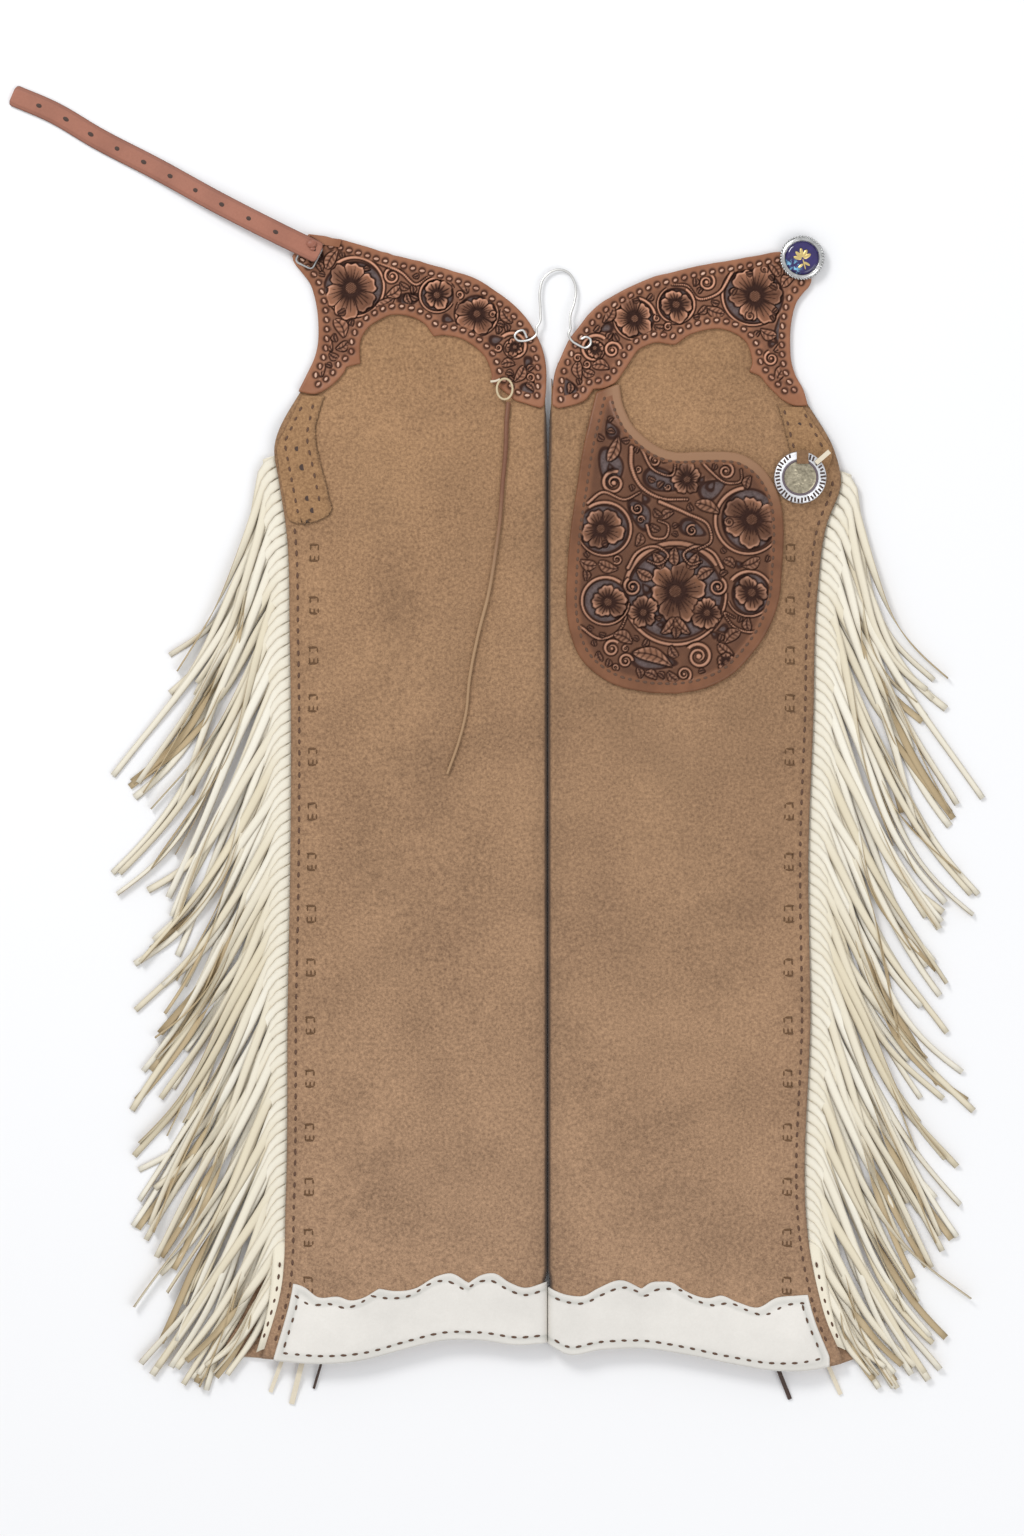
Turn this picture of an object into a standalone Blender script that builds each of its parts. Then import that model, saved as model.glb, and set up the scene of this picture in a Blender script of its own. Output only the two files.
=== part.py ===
"""Western leather chaps laid flat: two fringed suede legs with tooled yokes, a pocket and pale cuffs.

Run with blender --background --python part.py, or from Blender's text editor.

Tables are in millimetres: x to the right, y towards the waist, z up from the surface that the chaps
lie on. Left and right are as seen from above, with the waist away from the viewer.
"""

import math
from collections import namedtuple

import bmesh
import bpy
import numpy as np
from mathutils import Matrix, Vector

MM = 0.001

# Leather and layers
SUEDE = 2.0
TOOLED = 3.0
CUFF_LEATHER = 1.6
TAB_LEATHER = 1.8
SEAM_GAP = 0.3
LAY_GAP = 0.4

# Heights of a leg's front: at its outer seam, over its body, and where the waist rests on the surface
SEAM_TOP = 8.6
BODY_TOP = 12.5
WAIST_TOP = SUEDE
SEAM_WIDTH = 40.0
DROOP_START = 258.0
DROOP_END = 318.0

# The back steps up by this much over the cuff that is wrapped under it
CUFF_RISE = CUFF_LEATHER + SEAM_GAP
CUFF_STEP_TOP = -425.0
CUFF_STEP_FOOT = -440.0

# The grid of a leg's wall: 0 to 1 is the front, 1 to 2 the inner fold, 2 to 3 the back
FRONT_COLUMNS = (0.0, 0.05, 0.11, 0.19, 0.35, 0.52, 0.69, 0.86, 1.0)
FOLD_COLUMNS = (1.25, 1.5, 1.75)
BACK_COLUMNS = (2.0, 2.35, 2.7, 3.0)
WAIST_ROWS = 5
ROWS = (318, 309.5, 301, 292.5, 284, 275.5, 267, 258, 222, 180, 110, 35, -42, -120, -197, -273, -350,
        CUFF_STEP_TOP, CUFF_STEP_FOOT, -475)
SEAT_ROW = 180.0
SEAT_TOP = 258.0
SEAT_DIP = 34.0
YOKE_INSET = 3.0
HEM_INSET = 1.5

Side = namedtuple("Side", "y outer fold")
LEFT_SIDES = (
    Side(415, -182, 31), Side(390, -166, 31), Side(361, -159.5, 31), Side(343, -160, 31),
    Side(314, -169, 31), Side(300, -178, 30.5), Side(253, -200, 31), Side(223, -196, 31.3),
    Side(183, -190, 31.3), Side(89, -187, 31.3), Side(-132, -187, 31.3), Side(-217, -188.7, 31.3),
    Side(-387, -190.5, 31.3), Side(-463, -194.5, 31.3), Side(-521, -211, 31.3),
)
RIGHT_SIDES = (
    Side(411, 250, 35), Side(394, 252, 35), Side(375, 240, 35), Side(359, 236, 35), Side(343, 235, 35),
    Side(326, 236, 35), Side(302, 246, 34.5), Side(248, 276, 33.2), Side(224, 281, 32.5),
    Side(186, 268.5, 32.4), Side(129, 261, 32.4), Side(21, 257.5, 32.4), Side(-89, 253.5, 32.4),
    Side(-217, 255, 32.4), Side(-455, 259.5, 32.4), Side(-487, 268, 32.4), Side(-519, 281.5, 32.4),
)

# The back is this much wider than the front from the flare down to the hem
FLARE_TOP = -300.0
FLARE_WIDTH = 34.0
FLARE_REACH = 60.0
FLARE_STEP = 15.0

Spot = namedtuple("Spot", "x y")
LEFT_HEM = (
    Spot(-211, -521), Spot(-188, -523), Spot(-156, -525), Spot(-122, -522), Spot(-86, -512),
    Spot(-56, -505), Spot(-24, -505), Spot(7, -509), Spot(32, -507),
)
RIGHT_HEM = (
    Spot(32, -507), Spot(46, -516), Spot(76, -513), Spot(114, -512), Spot(146, -517), Spot(184, -525),
    Spot(223, -531), Spot(250, -530), Spot(270, -525), Spot(282, -519),
)

# The cuffs' scalloped tops, one row of spots for each arc between two cusps
LEFT_SCALLOPS = (
    (Spot(-215, -456), Spot(-184, -460), Spot(-171, -468), Spot(-152, -468), Spot(-141, -471),
     Spot(-131, -469), Spot(-117.5, -461)),
    (Spot(-117.5, -461), Spot(-103, -463), Spot(-86, -461), Spot(-66, -450), Spot(-56, -448),
     Spot(-38, -456)),
    (Spot(-38, -456), Spot(-29, -450), Spot(-17, -448), Spot(-1, -456), Spot(10, -460), Spot(32, -455)),
)
RIGHT_SCALLOPS = (
    (Spot(32, -459), Spot(37, -462), Spot(53, -467), Spot(64, -467), Spot(76, -461), Spot(99, -454),
     Spot(115.5, -461)),
    (Spot(115.5, -461), Spot(124, -456), Spot(134, -455), Spot(144, -456), Spot(153, -462),
     Spot(174, -469), Spot(187, -467), Spot(198, -472)),
    (Spot(198, -472), Spot(216, -477), Spot(234, -469), Spot(254, -467), Spot(290, -466)),
)
CUFF_INSET = 10.0
CUFF_FRONT_STEPS = 26
CUFF_BACK_STEPS = 12
CUFF_ROWS = 2

# Soft swells of the front: middle, half width, half length and height
Swell = namedtuple("Swell", "x y wide long high")
LEFT_SWELLS = (
    Swell(-100, -40, 60, 150, 1.2), Swell(-35, -240, 50, 130, 1.1), Swell(-125, -330, 50, 100, -0.8),
    Swell(-40, 120, 60, 110, 0.9),
)
RIGHT_SWELLS = (
    Swell(110, -60, 55, 140, 1.1), Swell(200, -230, 50, 130, 1.0), Swell(90, -330, 50, 100, -0.8),
    Swell(180, 130, 55, 110, 0.7),
)

# Cross sections of the yokes and the pocket, from one end to the other
Section = namedtuple("Section", "top_x top_y low_x low_y")
LEFT_YOKE = (
    Section(-171, 434, -185, 415), Section(-163, 433, -183, 409), Section(-156, 432, -175, 399),
    Section(-149, 430, -169, 390), Section(-142, 429, -165, 376), Section(-135, 427, -163, 361),
    Section(-128, 425, -163, 343), Section(-121, 423, -166, 329), Section(-115, 421, -173, 314),
    Section(-109, 419, -180, 300), Section(-104, 418, -165, 298), Section(-99, 416, -152, 305),
    Section(-94, 415, -142, 315), Section(-90, 414, -139, 321), Section(-86, 413, -127, 324),
    Section(-82, 412, -127.5, 331.5), Section(-77, 411, -127, 343), Section(-71, 409, -121, 354),
    Section(-64, 407, -111, 361), Section(-56, 405, -99.5, 365.5), Section(-47, 402, -85, 364),
    Section(-38, 399.5, -73, 358), Section(-29, 396, -67, 350), Section(-21, 391.5, -65, 347),
    Section(-13, 386, -55, 348), Section(-5, 380.5, -41, 345), Section(3, 374, -29, 337.5),
    Section(10, 367, -21, 329), Section(16, 359.5, -16, 317), Section(21, 351, -15.7, 308.6),
    Section(25, 343, -6, 301), Section(28, 335, 0, 296), Section(30, 326, 5, 292),
    Section(31, 315, 12, 290), Section(30.5, 300, 18, 288), Section(29, 288, 26, 285.8),
)
RIGHT_YOKE = (
    Section(36, 288, 41, 285.5), Section(36, 300, 48, 287), Section(38, 316, 56, 289),
    Section(43, 329, 61, 291), Section(50, 344, 65, 293.5), Section(56, 352, 71, 302),
    Section(61, 358.5, 79, 302.6), Section(66, 365, 85, 305), Section(72, 371, 90.5, 308.6),
    Section(79, 376.6, 97, 318), Section(85, 380, 104, 329), Section(91, 383.5, 108, 334.5),
    Section(98.6, 387.6, 113, 338), Section(106, 391, 123, 341.7), Section(114, 394.5, 131, 341),
    Section(123, 398, 138, 340), Section(129, 399.5, 142, 341), Section(136, 401, 152, 348),
    Section(147.5, 404, 164, 352), Section(158, 406.5, 177, 353.6), Section(166, 408, 190, 350),
    Section(174, 409.5, 200, 342.6), Section(181, 410.5, 204, 334), Section(188, 411.7, 205.7, 324.3),
    Section(194, 412.8, 203, 317), Section(200, 414, 212.5, 313), Section(206, 415, 217.6, 306.4),
    Section(212, 416, 227, 296.7), Section(218, 417.3, 232, 292.4), Section(224, 418.5, 241, 288.2),
    Section(230, 418.8, 253, 288), Section(236, 418, 249, 302), Section(242, 415.5, 243, 313),
    Section(248, 411.5, 239, 326), Section(252, 406, 238, 343), Section(255, 400, 239, 359),
    Section(256, 394, 243, 375), Section(253.5, 388.5, 250, 385),
)
POCKET = (
    Section(73, 299.5, 93, 307), Section(70.5, 289, 95.6, 290), Section(68, 279, 103, 273),
    Section(66, 270, 113, 262), Section(64, 262, 126, 252.5), Section(62, 252, 141, 248),
    Section(60, 241, 160, 248.5), Section(58.5, 231, 183, 248.5), Section(57, 220, 198, 245.7),
    Section(55, 208, 213.4, 235.5), Section(53, 195, 224.4, 220), Section(51, 180, 230.4, 201.5),
    Section(49.5, 163, 232, 177), Section(48.5, 146, 230.4, 148), Section(47.6, 120, 228, 123),
    Section(51, 95, 219.3, 98.6), Section(59.5, 74, 205.7, 77.8), Section(75, 58.7, 187, 58.7),
    Section(93.5, 49.3, 164, 47.6), Section(118, 44.2, 141, 43.4),
)
YOKE_STEPS = 2
POCKET_STEPS = 5
POCKET_GAP = 0.6
POCKET_BULGE = 2.2

# The frayed tabs over the hips: an inner edge x for each height
Tab = namedtuple("Tab", "y outer inner")
LEFT_TAB = (
    Tab(296.5, -178, -157), Tab(284, -184, -161), Tab(270, -191, -165), Tab(253, -199, -164),
    Tab(240, -198, -161), Tab(222, -195.5, -156), Tab(208, -192.5, -153), Tab(198, -191, -151.5),
    Tab(191, -189, -160), Tab(187.5, -182, -172),
)
RIGHT_TAB = (
    Tab(287, 250, 227.5), Tab(275, 258, 231), Tab(262, 266.5, 234), Tab(248, 275, 237.5),
    Tab(236, 272, 240), Tab(224, 266, 243), Tab(214, 258, 247),
)
TAB_STEPS = 4
TAB_EDGE = 1.5

# The fringe: a strip sewn between front and back, whose outer face is cut into strands
FRINGE_COLUMNS = 54
FRINGE_ROWS = 4
FRINGE_ROW = 1.0
STRIP_INSIDE = 12.0
STRIP_PROUD = 1.5
STRIP_FLOOR = SUEDE + SEAM_GAP
STRAND_LENGTH = 250.0
STRAND_SEGMENTS = 4
STRAND_ROOT = 8.2
STRAND_TIP = 4.6
STRAND_THICK = 0.8
STRAND_CLEAR = 0.6
TRIM_LINE = -528.0
Fringe = namedtuple("Fringe", "top foot start fall sway")
LEFT_FRINGE = Fringe(top=246, foot=-512, start=14, fall=63, sway=5.0)
RIGHT_FRINGE = Fringe(top=233, foot=-510, start=18, fall=71, sway=5.0)

# The waist strap
STRAP_WIDTH = 18.4
STRAP_THICK = 3.0
STRAP_END_HEIGHT = 8.4
HOLE_COUNT = 10
HOLE_PITCH = 25.4
FIRST_HOLE = 24.0
HOLE_LENGTH = 4.6
HOLE_WIDTH = 3.3
STRAP_LINE = (
    Spot(-423, 552.5), Spot(-388, 537.5), Spot(-350.5, 515.5), Spot(-299.5, 489), Spot(-249, 461),
    Spot(-198.5, 435), Spot(-161.5, 417),
)
STRAP_STEPS = 22

# Hardware, which lies on the yokes where they are flat at the waist
YOKE_TOP = WAIST_TOP + LAY_GAP + TOOLED + SEAM_GAP
WIRE = 2.1
RING_WIRE = 2.0
STRAP_RING_CENTRE = Vector((-170.5, 416.5, 0))
STRAP_RING_WAY = Vector((0.892, -0.452, 0))
STRAP_RING_LENGTH = 16.0
STRAP_RING_WIDTH = 21.0
STRAP_RING_CORNER = 3.0
CORNER_STEPS = 4
LINK_CLEAR = 0.1
ENAMEL_CENTRE = Spot(248, 413.5)
ENAMEL_ACROSS = 38.0
ENAMEL_DISC = 28.4
SLOTTED_CENTRE = Spot(246, 226.7)
SLOTTED_ACROSS = 44.5
COIN_ACROSS = 29.0
SLOTTED_FLOOR = 15.4
TURNED_GAP = 0.3

# Small flat pieces by their corners, and how thick they are
CORNER_TAB = ((-170.3, 433), (-143, 429.2), (-145, 422.5), (-157, 424.5))
CORNER_TAB_THICK = 1.6
KEEPER = ((-172, 430.5), (-165.5, 427.2), (-169, 419.6), (-175.5, 422.9))
KEEPER_THICK = 1.5
CONCHO_STRIP = ((243, 238.2), (253, 238.2), (253, 249.95), (243, 249.95))
CONCHO_STRIP_THICK = 1.6
LACE_END = ((258, 240.2), (260.5, 237.2), (272, 247.2), (269.5, 250.2))
LACE_END_THICK = 1.8
CONCHO_TOP = 2.4

Place = namedtuple("Place", "x y z")
WIRE_ROUTE = (
    Place(14.5, 345.5, 6.9), Place(10.5, 352, 7.2), Place(6, 350.5, 7.2), Place(4, 347.2, 7.2),
    Place(6, 343.8, 7.2), Place(12, 343, 7.2), Place(19.3, 345.5, 7.2), Place(22.5, 349, 7.2),
    Place(22.3, 353.5, 7.0), Place(25.5, 359.5, 6.4), Place(25.8, 369, 5.4), Place(25.5, 386, 4.4),
    Place(28, 395.5, 3.8), Place(34.8, 402, 3.4), Place(41.8, 403.8, 3.4), Place(49.5, 401.2, 3.4),
    Place(54.5, 393.5, 3.8), Place(56, 386, 4.2), Place(54.5, 375.5, 5.0), Place(51.2, 364.5, 6.0),
    Place(51, 358.5, 6.6), Place(51.2, 353, 7.0), Place(49.8, 349, 7.2), Place(52, 343.8, 7.2),
    Place(58.3, 339.3, 7.2), Place(64.3, 337.2, 7.2), Place(68.2, 340.2, 7.2), Place(68, 344.6, 7.2),
    Place(64.4, 346.4, 7.2), Place(60.6, 344.6, 6.9),
)
LACE = 3.0
LACE_ROUTE = (
    Spot(-1.5, 290.5), Spot(-3, 273), Spot(-3.4, 256), Spot(-6.4, 220), Spot(-8.8, 188.5), Spot(-12, 165),
    Spot(-18, 129), Spot(-27, 93.5), Spot(-34.8, 52.5), Spot(-37, 29), Spot(-44, 1), Spot(-53.2, -24.5),
)
LACE_POINTS = 34
LACE_CLEAR = 0.6
RING_CENTRE = Spot(-4.5, 302)
RING_SIZE = Spot(13.4, 17.6)
RING_LACE = 1.9

# Thong ends that show below the hem: where they leave it, where they end, and their width
Tie = namedtuple("Tie", "x y end_x end_y wide material")
HEM_TIES = (
    Tie(-190.5, -514, -203.5, -550, 3.4, "pale"), Tie(-174, -514, -185.6, -560, 4.5, "pale"),
    Tie(-157, -514, -166.8, -547, 2.2, "dark"), Tie(223, -518, 238, -556, 3.6, "dark"),
    Tie(262, -508, 281, -552, 3.6, "pale"),
)
TIE_THICK = 1.2

COLOURS = {
    "suede": (0.36, 0.22, 0.12, 1.0),
    "tooled": (0.25, 0.10, 0.055, 1.0),
    "cuff": (0.78, 0.74, 0.66, 1.0),
    "fringe": (0.80, 0.70, 0.52, 1.0),
    "strap": (0.42, 0.17, 0.10, 1.0),
    "tab": (0.45, 0.28, 0.16, 1.0),
    "lace": (0.40, 0.24, 0.15, 1.0),
    "pale": (0.80, 0.72, 0.58, 1.0),
    "dark": (0.05, 0.03, 0.02, 1.0),
    "silver": (0.80, 0.80, 0.78, 1.0),
    "pewter": (0.42, 0.41, 0.38, 1.0),
    "enamel": (0.03, 0.02, 0.16, 1.0),
}
METALS = ("silver", "pewter")
METAL_ROUGHNESS = 0.3
LEATHER_ROUGHNESS = 0.8


def smooth(value):
    """An S curve from 0 to 1."""
    t = min(1.0, max(0.0, value))
    return t * t * (3 - 2 * t)


def uneven(index, salt):
    """A steady, uneven number from -1 to 1 for a counted piece."""
    return 2 * ((math.sin(index * 12.9898 + salt * 78.233) * 43758.5453) % 1.0) - 1


def curve_through(places, values):
    """A smooth function through a table's values, with its places in rising order."""
    places = np.array(places, float)
    values = np.array(values, float)
    slopes = np.gradient(values, places)

    def value_at(place):
        k = int(np.clip(np.searchsorted(places, place) - 1, 0, len(places) - 2))
        span = places[k + 1] - places[k]
        t = float(np.clip((place - places[k]) / span, 0.0, 1.0))
        rise = smooth(t)
        start = t * (1 - t) ** 2 * span * slopes[k]
        end = t * t * (t - 1) * span * slopes[k + 1]
        return float(values[k] * (1 - rise) + values[k + 1] * rise + start + end)

    return value_at


def arcs_through(arcs):
    """A function of x through several arcs that meet at cusps."""
    curves = [curve_through([s.x for s in arc], [s.y for s in arc]) for arc in arcs]
    ends = [arc[-1].x for arc in arcs]

    def value_at(x):
        k = next((i for i, end in enumerate(ends) if x <= end), len(ends) - 1)
        return curves[k](x)

    return value_at


def through_spots(spots, count):
    """Evenly counted points on a smooth line through the spots."""
    spots = np.array(spots, float)
    steps = np.linalg.norm(np.diff(spots, axis=0), axis=1)
    along = np.concatenate([[0.0], np.cumsum(steps)])
    curves = [curve_through(along, spots[:, k]) for k in range(spots.shape[1])]
    return [tuple(curve(s) for curve in curves) for s in np.linspace(0, along[-1], count)]


class Leg:
    """One leg: its edges, its hem and the heights of its front."""

    def __init__(self, name, sides, hem, scallops, swells, yoke):
        rows = sorted(sides, key=lambda side: side.y)
        self.name = name
        self.outer = curve_through([r.y for r in rows], [r.outer for r in rows])
        self.fold_line = curve_through([r.y for r in rows], [r.fold for r in rows])
        self.hem = curve_through([s.x for s in hem], [s.y for s in hem])
        self.scallop = arcs_through(scallops)
        self.swells = swells
        self.toward = 1 if rows[0].fold > rows[0].outer else -1
        tops = sorted((section.top_x, section.top_y) for section in yoke)
        spots = [tops[0]] + [b for a, b in zip(tops, tops[1:]) if b[0] - a[0] > 0.6]
        self.top = curve_through([x for x, _ in spots], [y for _, y in spots])

    def rise(self, y):
        """How far the back stands off the surface: over the wrapped cuff only."""
        return CUFF_RISE * min(1.0, max(0.0, (CUFF_STEP_TOP - y) / (CUFF_STEP_TOP - CUFF_STEP_FOOT)))

    def fold(self, y):
        """The inner fold's edge, drawn in under the cuff so that the two cuffs don't meet."""
        return self.fold_line(y) - self.toward * self.rise(y)

    def fold_top(self, y):
        droop = smooth((y - DROOP_START) / (DROOP_END - DROOP_START))
        return (BODY_TOP + self.rise(y)) * (1 - droop) + WAIST_TOP * droop

    def radius(self, y):
        return (self.fold_top(y) - self.rise(y)) / 2

    def width(self, y):
        """The front's width from its seam to where the fold begins to turn."""
        return abs(self.fold(y) - self.outer(y)) - self.radius(y)

    def x_at(self, part, y):
        return self.outer(y) + self.toward * part * self.width(y)

    def smooth_height(self, part, y):
        """The height of the front's outer surface at a part of its width."""
        width = self.width(y)
        inward = part * width
        x = self.x_at(part, y)
        body = SEAM_TOP + (BODY_TOP - SEAM_TOP) * smooth(inward / SEAM_WIDTH) + self.rise(y)
        edges = smooth(inward / SEAM_WIDTH) * smooth((width - inward) / SEAM_WIDTH)
        for swell in self.swells:
            across = (x - swell.x) / swell.wide
            along = (y - swell.y) / swell.long
            body += swell.high * edges * math.exp(-0.5 * (across * across + along * along))
        droop = smooth((y - DROOP_START) / (DROOP_END - DROOP_START))
        return body * (1 - droop) + WAIST_TOP * droop

    def row_height(self, part, y):
        """The height between two of the wall's columns, on the flat that joins them."""
        k = int(np.clip(np.searchsorted(FRONT_COLUMNS, part) - 1, 0, len(FRONT_COLUMNS) - 2))
        low, high = FRONT_COLUMNS[k], FRONT_COLUMNS[k + 1]
        share = (part - low) / (high - low)
        return self.smooth_height(low, y) * (1 - share) + self.smooth_height(high, y) * share

    def height(self, x, y):
        """The height of the front's facets at a spot, which what lies on it is made from."""
        part = min(1.0, max(0.0, (x - self.outer(y)) * self.toward / self.width(y)))
        if y >= ROWS[0] or y <= ROWS[-1]:
            return self.row_height(part, y)
        k = next(i for i, row in enumerate(ROWS) if y > row)
        above, below = ROWS[k - 1], ROWS[k]
        share = (y - below) / (above - below)
        return self.row_height(part, below) * (1 - share) + self.row_height(part, above) * share

    def back_edge(self, y):
        """The back's outer edge, which flares past the front's near the hem."""
        flare = FLARE_WIDTH * smooth((FLARE_TOP - y) / (FLARE_TOP - TRIM_LINE))
        return self.outer(y) - self.toward * flare

    def point(self, place, y, out=0.0):
        """A point of the wall's outer surface, moved out by a distance. Place is the column."""
        rise = self.rise(y)
        if place <= 1:
            return (self.x_at(place, y), y, self.smooth_height(place, y) + out)
        radius = self.radius(y)
        middle = self.fold(y) - self.toward * radius
        if place <= 2:
            angle = math.pi * (1.5 - place)
            turned = radius + out
            return (middle + self.toward * turned * math.cos(angle), y,
                    rise + radius + turned * math.sin(angle))
        return (middle + (self.back_edge(y) - middle) * (place - 2), y, rise - out)

    def column_top(self, place):
        """The height on the page at which a column of the wall ends under the yoke or at the seat."""
        if place <= 1:
            y = DROOP_END
            for _ in range(30):
                y = 0.5 * y + 0.5 * (self.top(self.x_at(place, y)) - YOKE_INSET)
            return y
        if place <= 2:
            return curve_through((1.0, 1.25, 1.5, 1.75, 2.0), (330, 290, 276, 266, SEAT_TOP))(place)
        return SEAT_TOP - 8 * (place - 2) - SEAT_DIP * math.sin(math.pi * (place - 2))

    def rows(self, place):
        """The heights on the page of one column's points, from waist to hem."""
        top = self.column_top(place)
        head = max(top, ROWS[0] + 6) if place <= 1 else 350.0
        nominal = list(np.linspace(head, ROWS[0], WAIST_ROWS + 1)[:-1]) + list(ROWS)
        if place > 1:
            squeeze = (top - SEAT_ROW) / (head - SEAT_ROW)
            nominal = [y if y <= SEAT_ROW else SEAT_ROW + (y - SEAT_ROW) * squeeze for y in nominal]
        x = self.point(place, ROWS[-1])[0]
        return nominal + [self.hem(x) + HEM_INSET]


LEFT = Leg("left", LEFT_SIDES, LEFT_HEM, LEFT_SCALLOPS, LEFT_SWELLS, LEFT_YOKE)
RIGHT = Leg("right", RIGHT_SIDES, RIGHT_HEM, RIGHT_SCALLOPS, RIGHT_SWELLS, RIGHT_YOKE)


def clear_scene():
    for old in list(bpy.data.objects):
        bpy.data.objects.remove(old, do_unlink=True)


def material(name):
    found = bpy.data.materials.new(name)
    found.use_nodes = True
    shader = found.node_tree.nodes["Principled BSDF"]
    shader.inputs["Base Color"].default_value = COLOURS[name]
    shader.inputs["Metallic"].default_value = 1.0 if name in METALS else 0.0
    shader.inputs["Roughness"].default_value = METAL_ROUGHNESS if name in METALS else LEATHER_ROUGHNESS
    found.diffuse_color = COLOURS[name]
    return found


def add_object(name, data, finish):
    data.materials.append(material(finish))
    piece = bpy.data.objects.new(name, data)
    bpy.context.scene.collection.objects.link(piece)
    return piece


def add_bmesh(name, bm, finish, rounded=False):
    bmesh.ops.recalc_face_normals(bm, faces=bm.faces)
    mesh = bpy.data.meshes.new(name)
    bm.to_mesh(mesh)
    bm.free()
    if rounded:
        mesh.shade_smooth()
        mesh.set_sharp_from_angle(angle=math.radians(40))
    return add_object(name, mesh, finish)


def add_wall(name, upper, lower, finish, rounded=True):
    """A closed wall between two grids of points in millimetres, of the same rows and columns."""
    bm = bmesh.new()
    sides = [[[bm.verts.new(Vector(spot) * MM) for spot in row] for row in grid] for grid in (upper, lower)]
    rows, columns = len(upper), len(upper[0])
    for grid in sides:
        for r in range(rows - 1):
            for c in range(columns - 1):
                bm.faces.new((grid[r][c], grid[r][c + 1], grid[r + 1][c + 1], grid[r + 1][c]))
    top, under = sides
    for r in range(rows - 1):
        for c in (0, columns - 1):
            bm.faces.new((top[r][c], top[r + 1][c], under[r + 1][c], under[r][c]))
    for c in range(columns - 1):
        for r in (0, rows - 1):
            bm.faces.new((top[r][c], top[r][c + 1], under[r][c + 1], under[r][c]))
    return add_bmesh(name, bm, finish, rounded)


def make_leg(leg):
    places = FRONT_COLUMNS + FOLD_COLUMNS + BACK_COLUMNS
    rows = [leg.rows(place) for place in places]
    outer = [[leg.point(place, y) for y in ys] for place, ys in zip(places, rows)]
    inner = [[leg.point(place, y, -SUEDE) for y in ys] for place, ys in zip(places, rows)]
    add_wall("leg_" + leg.name, outer, inner, "suede")


def make_cuff(leg):
    """The pale cuff follows the leg's wall round its inner fold and under the back."""
    hem_y = -500.0
    start = CUFF_INSET / leg.width(hem_y)
    stop = 3 - CUFF_INSET / abs(leg.back_edge(hem_y) - leg.fold(hem_y))
    front = sorted(set(np.linspace(start, 1, CUFF_FRONT_STEPS)) | {c for c in FRONT_COLUMNS if c > start})
    places = front + list(FOLD_COLUMNS) + list(np.linspace(2, stop, CUFF_BACK_STEPS))
    outer, inner = [], []
    for place in places:
        x = leg.point(place, hem_y)[0]
        top, foot = leg.scallop(x), leg.hem(x)
        ys = np.linspace(top, foot, CUFF_ROWS + 1)
        outer.append([cuff_point(leg, place, y, CUFF_RISE) for y in ys])
        inner.append([cuff_point(leg, place, y, SEAM_GAP) for y in ys])
    add_wall("cuff_" + leg.name, outer, inner, "cuff")


def cuff_point(leg, place, y, out):
    if place < 1:
        x = leg.x_at(place, y)
        return (x, y, leg.row_height(place, y) + out)
    return leg.point(place, y, out)


def make_band(name, leg, sections, steps, thick, gap, bulge=0.0):
    """A plate lofted from section to section, laid on a leg's front."""
    lower, upper = [], []
    last = len(sections) - 1
    for k, section in enumerate(sections):
        low_row, high_row = [], []
        for share in np.linspace(0, 1, steps + 1):
            x = section.top_x + share * (section.low_x - section.top_x)
            y = section.top_y + share * (section.low_y - section.top_y)
            swell = bulge * math.sin(math.pi * share) * math.sin(math.pi * k / last)
            z = leg.height(x, y) + gap + swell
            low_row.append((x, y, z))
            high_row.append((x, y, z + thick))
        lower.append(low_row)
        upper.append(high_row)
    return add_wall(name, upper, lower, "tooled")


def make_tab(leg, rows):
    lower, upper = [], []
    for row in rows:
        outer = row.outer + leg.toward * TAB_EDGE
        reach = [(c * leg.width(row.y)) * leg.toward + leg.outer(row.y) for c in FRONT_COLUMNS]
        inside = [x for x in reach if min(outer, row.inner) + 2 < x < max(outer, row.inner) - 2]
        middle = inside[:TAB_STEPS - 2] if inside else []
        while len(middle) < TAB_STEPS - 2:
            middle.append((([outer] + middle)[-1] + row.inner) / 2)
        xs = [outer] + sorted(middle, key=lambda x: x * leg.toward) + [row.inner]
        lower.append([(x, row.y, leg.height(x, row.y) + LAY_GAP) for x in xs])
        upper.append([(x, row.y, leg.height(x, row.y) + LAY_GAP + TAB_LEATHER) for x in xs])
    add_wall("side_tab_" + leg.name, upper, lower, "tab")


def strand_sections(leg, fringe, column, row, root_z):
    """The strand's flat sections: their middle, the way across them, their width and height."""
    share = (column + 0.5) / FRINGE_COLUMNS
    y = fringe.top + (fringe.foot - fringe.top) * share
    x = leg.outer(y) - leg.toward * STRIP_PROUD
    length = STRAND_LENGTH * (1 + 0.07 * uneven(column, 3 + row))
    length = min(length, (y - TRIM_LINE) / 0.86 + 9)
    sway = fringe.sway * math.sin(0.23 * column + 2.1 * row) + 0.8 * uneven(column, row)
    over_back = y < FLARE_TOP + FLARE_REACH
    sections = []
    steps = 12
    for step in range(steps + 1):
        t = step / steps
        heading = fringe.start + (fringe.fall + sway - fringe.start) * smooth(1.5 * t + 0.08)
        angle = math.radians(heading)
        away = Vector((-leg.toward * math.cos(angle), -math.sin(angle), 0))
        if step % (steps // STRAND_SEGMENTS) == 0 and step:
            across = Vector((-away.y, away.x, 0))
            wide = STRAND_ROOT + (STRAND_TIP - STRAND_ROOT) * t
            spread = 1.1 + 1.1 * math.sin(math.pi * min(1.0, 1.2 * t))
            floor = SUEDE + leg.rise(y - FLARE_STEP) if over_back else 0.0
            rest = floor + STRAND_CLEAR + (row + 0.5) * spread
            z = root_z + (rest - root_z) * smooth(2.2 * t)
            sections.append((Vector((x, y, z)), across, wide))
        x += away.x * length / steps
        y += away.y * length / steps
    return sections


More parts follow.
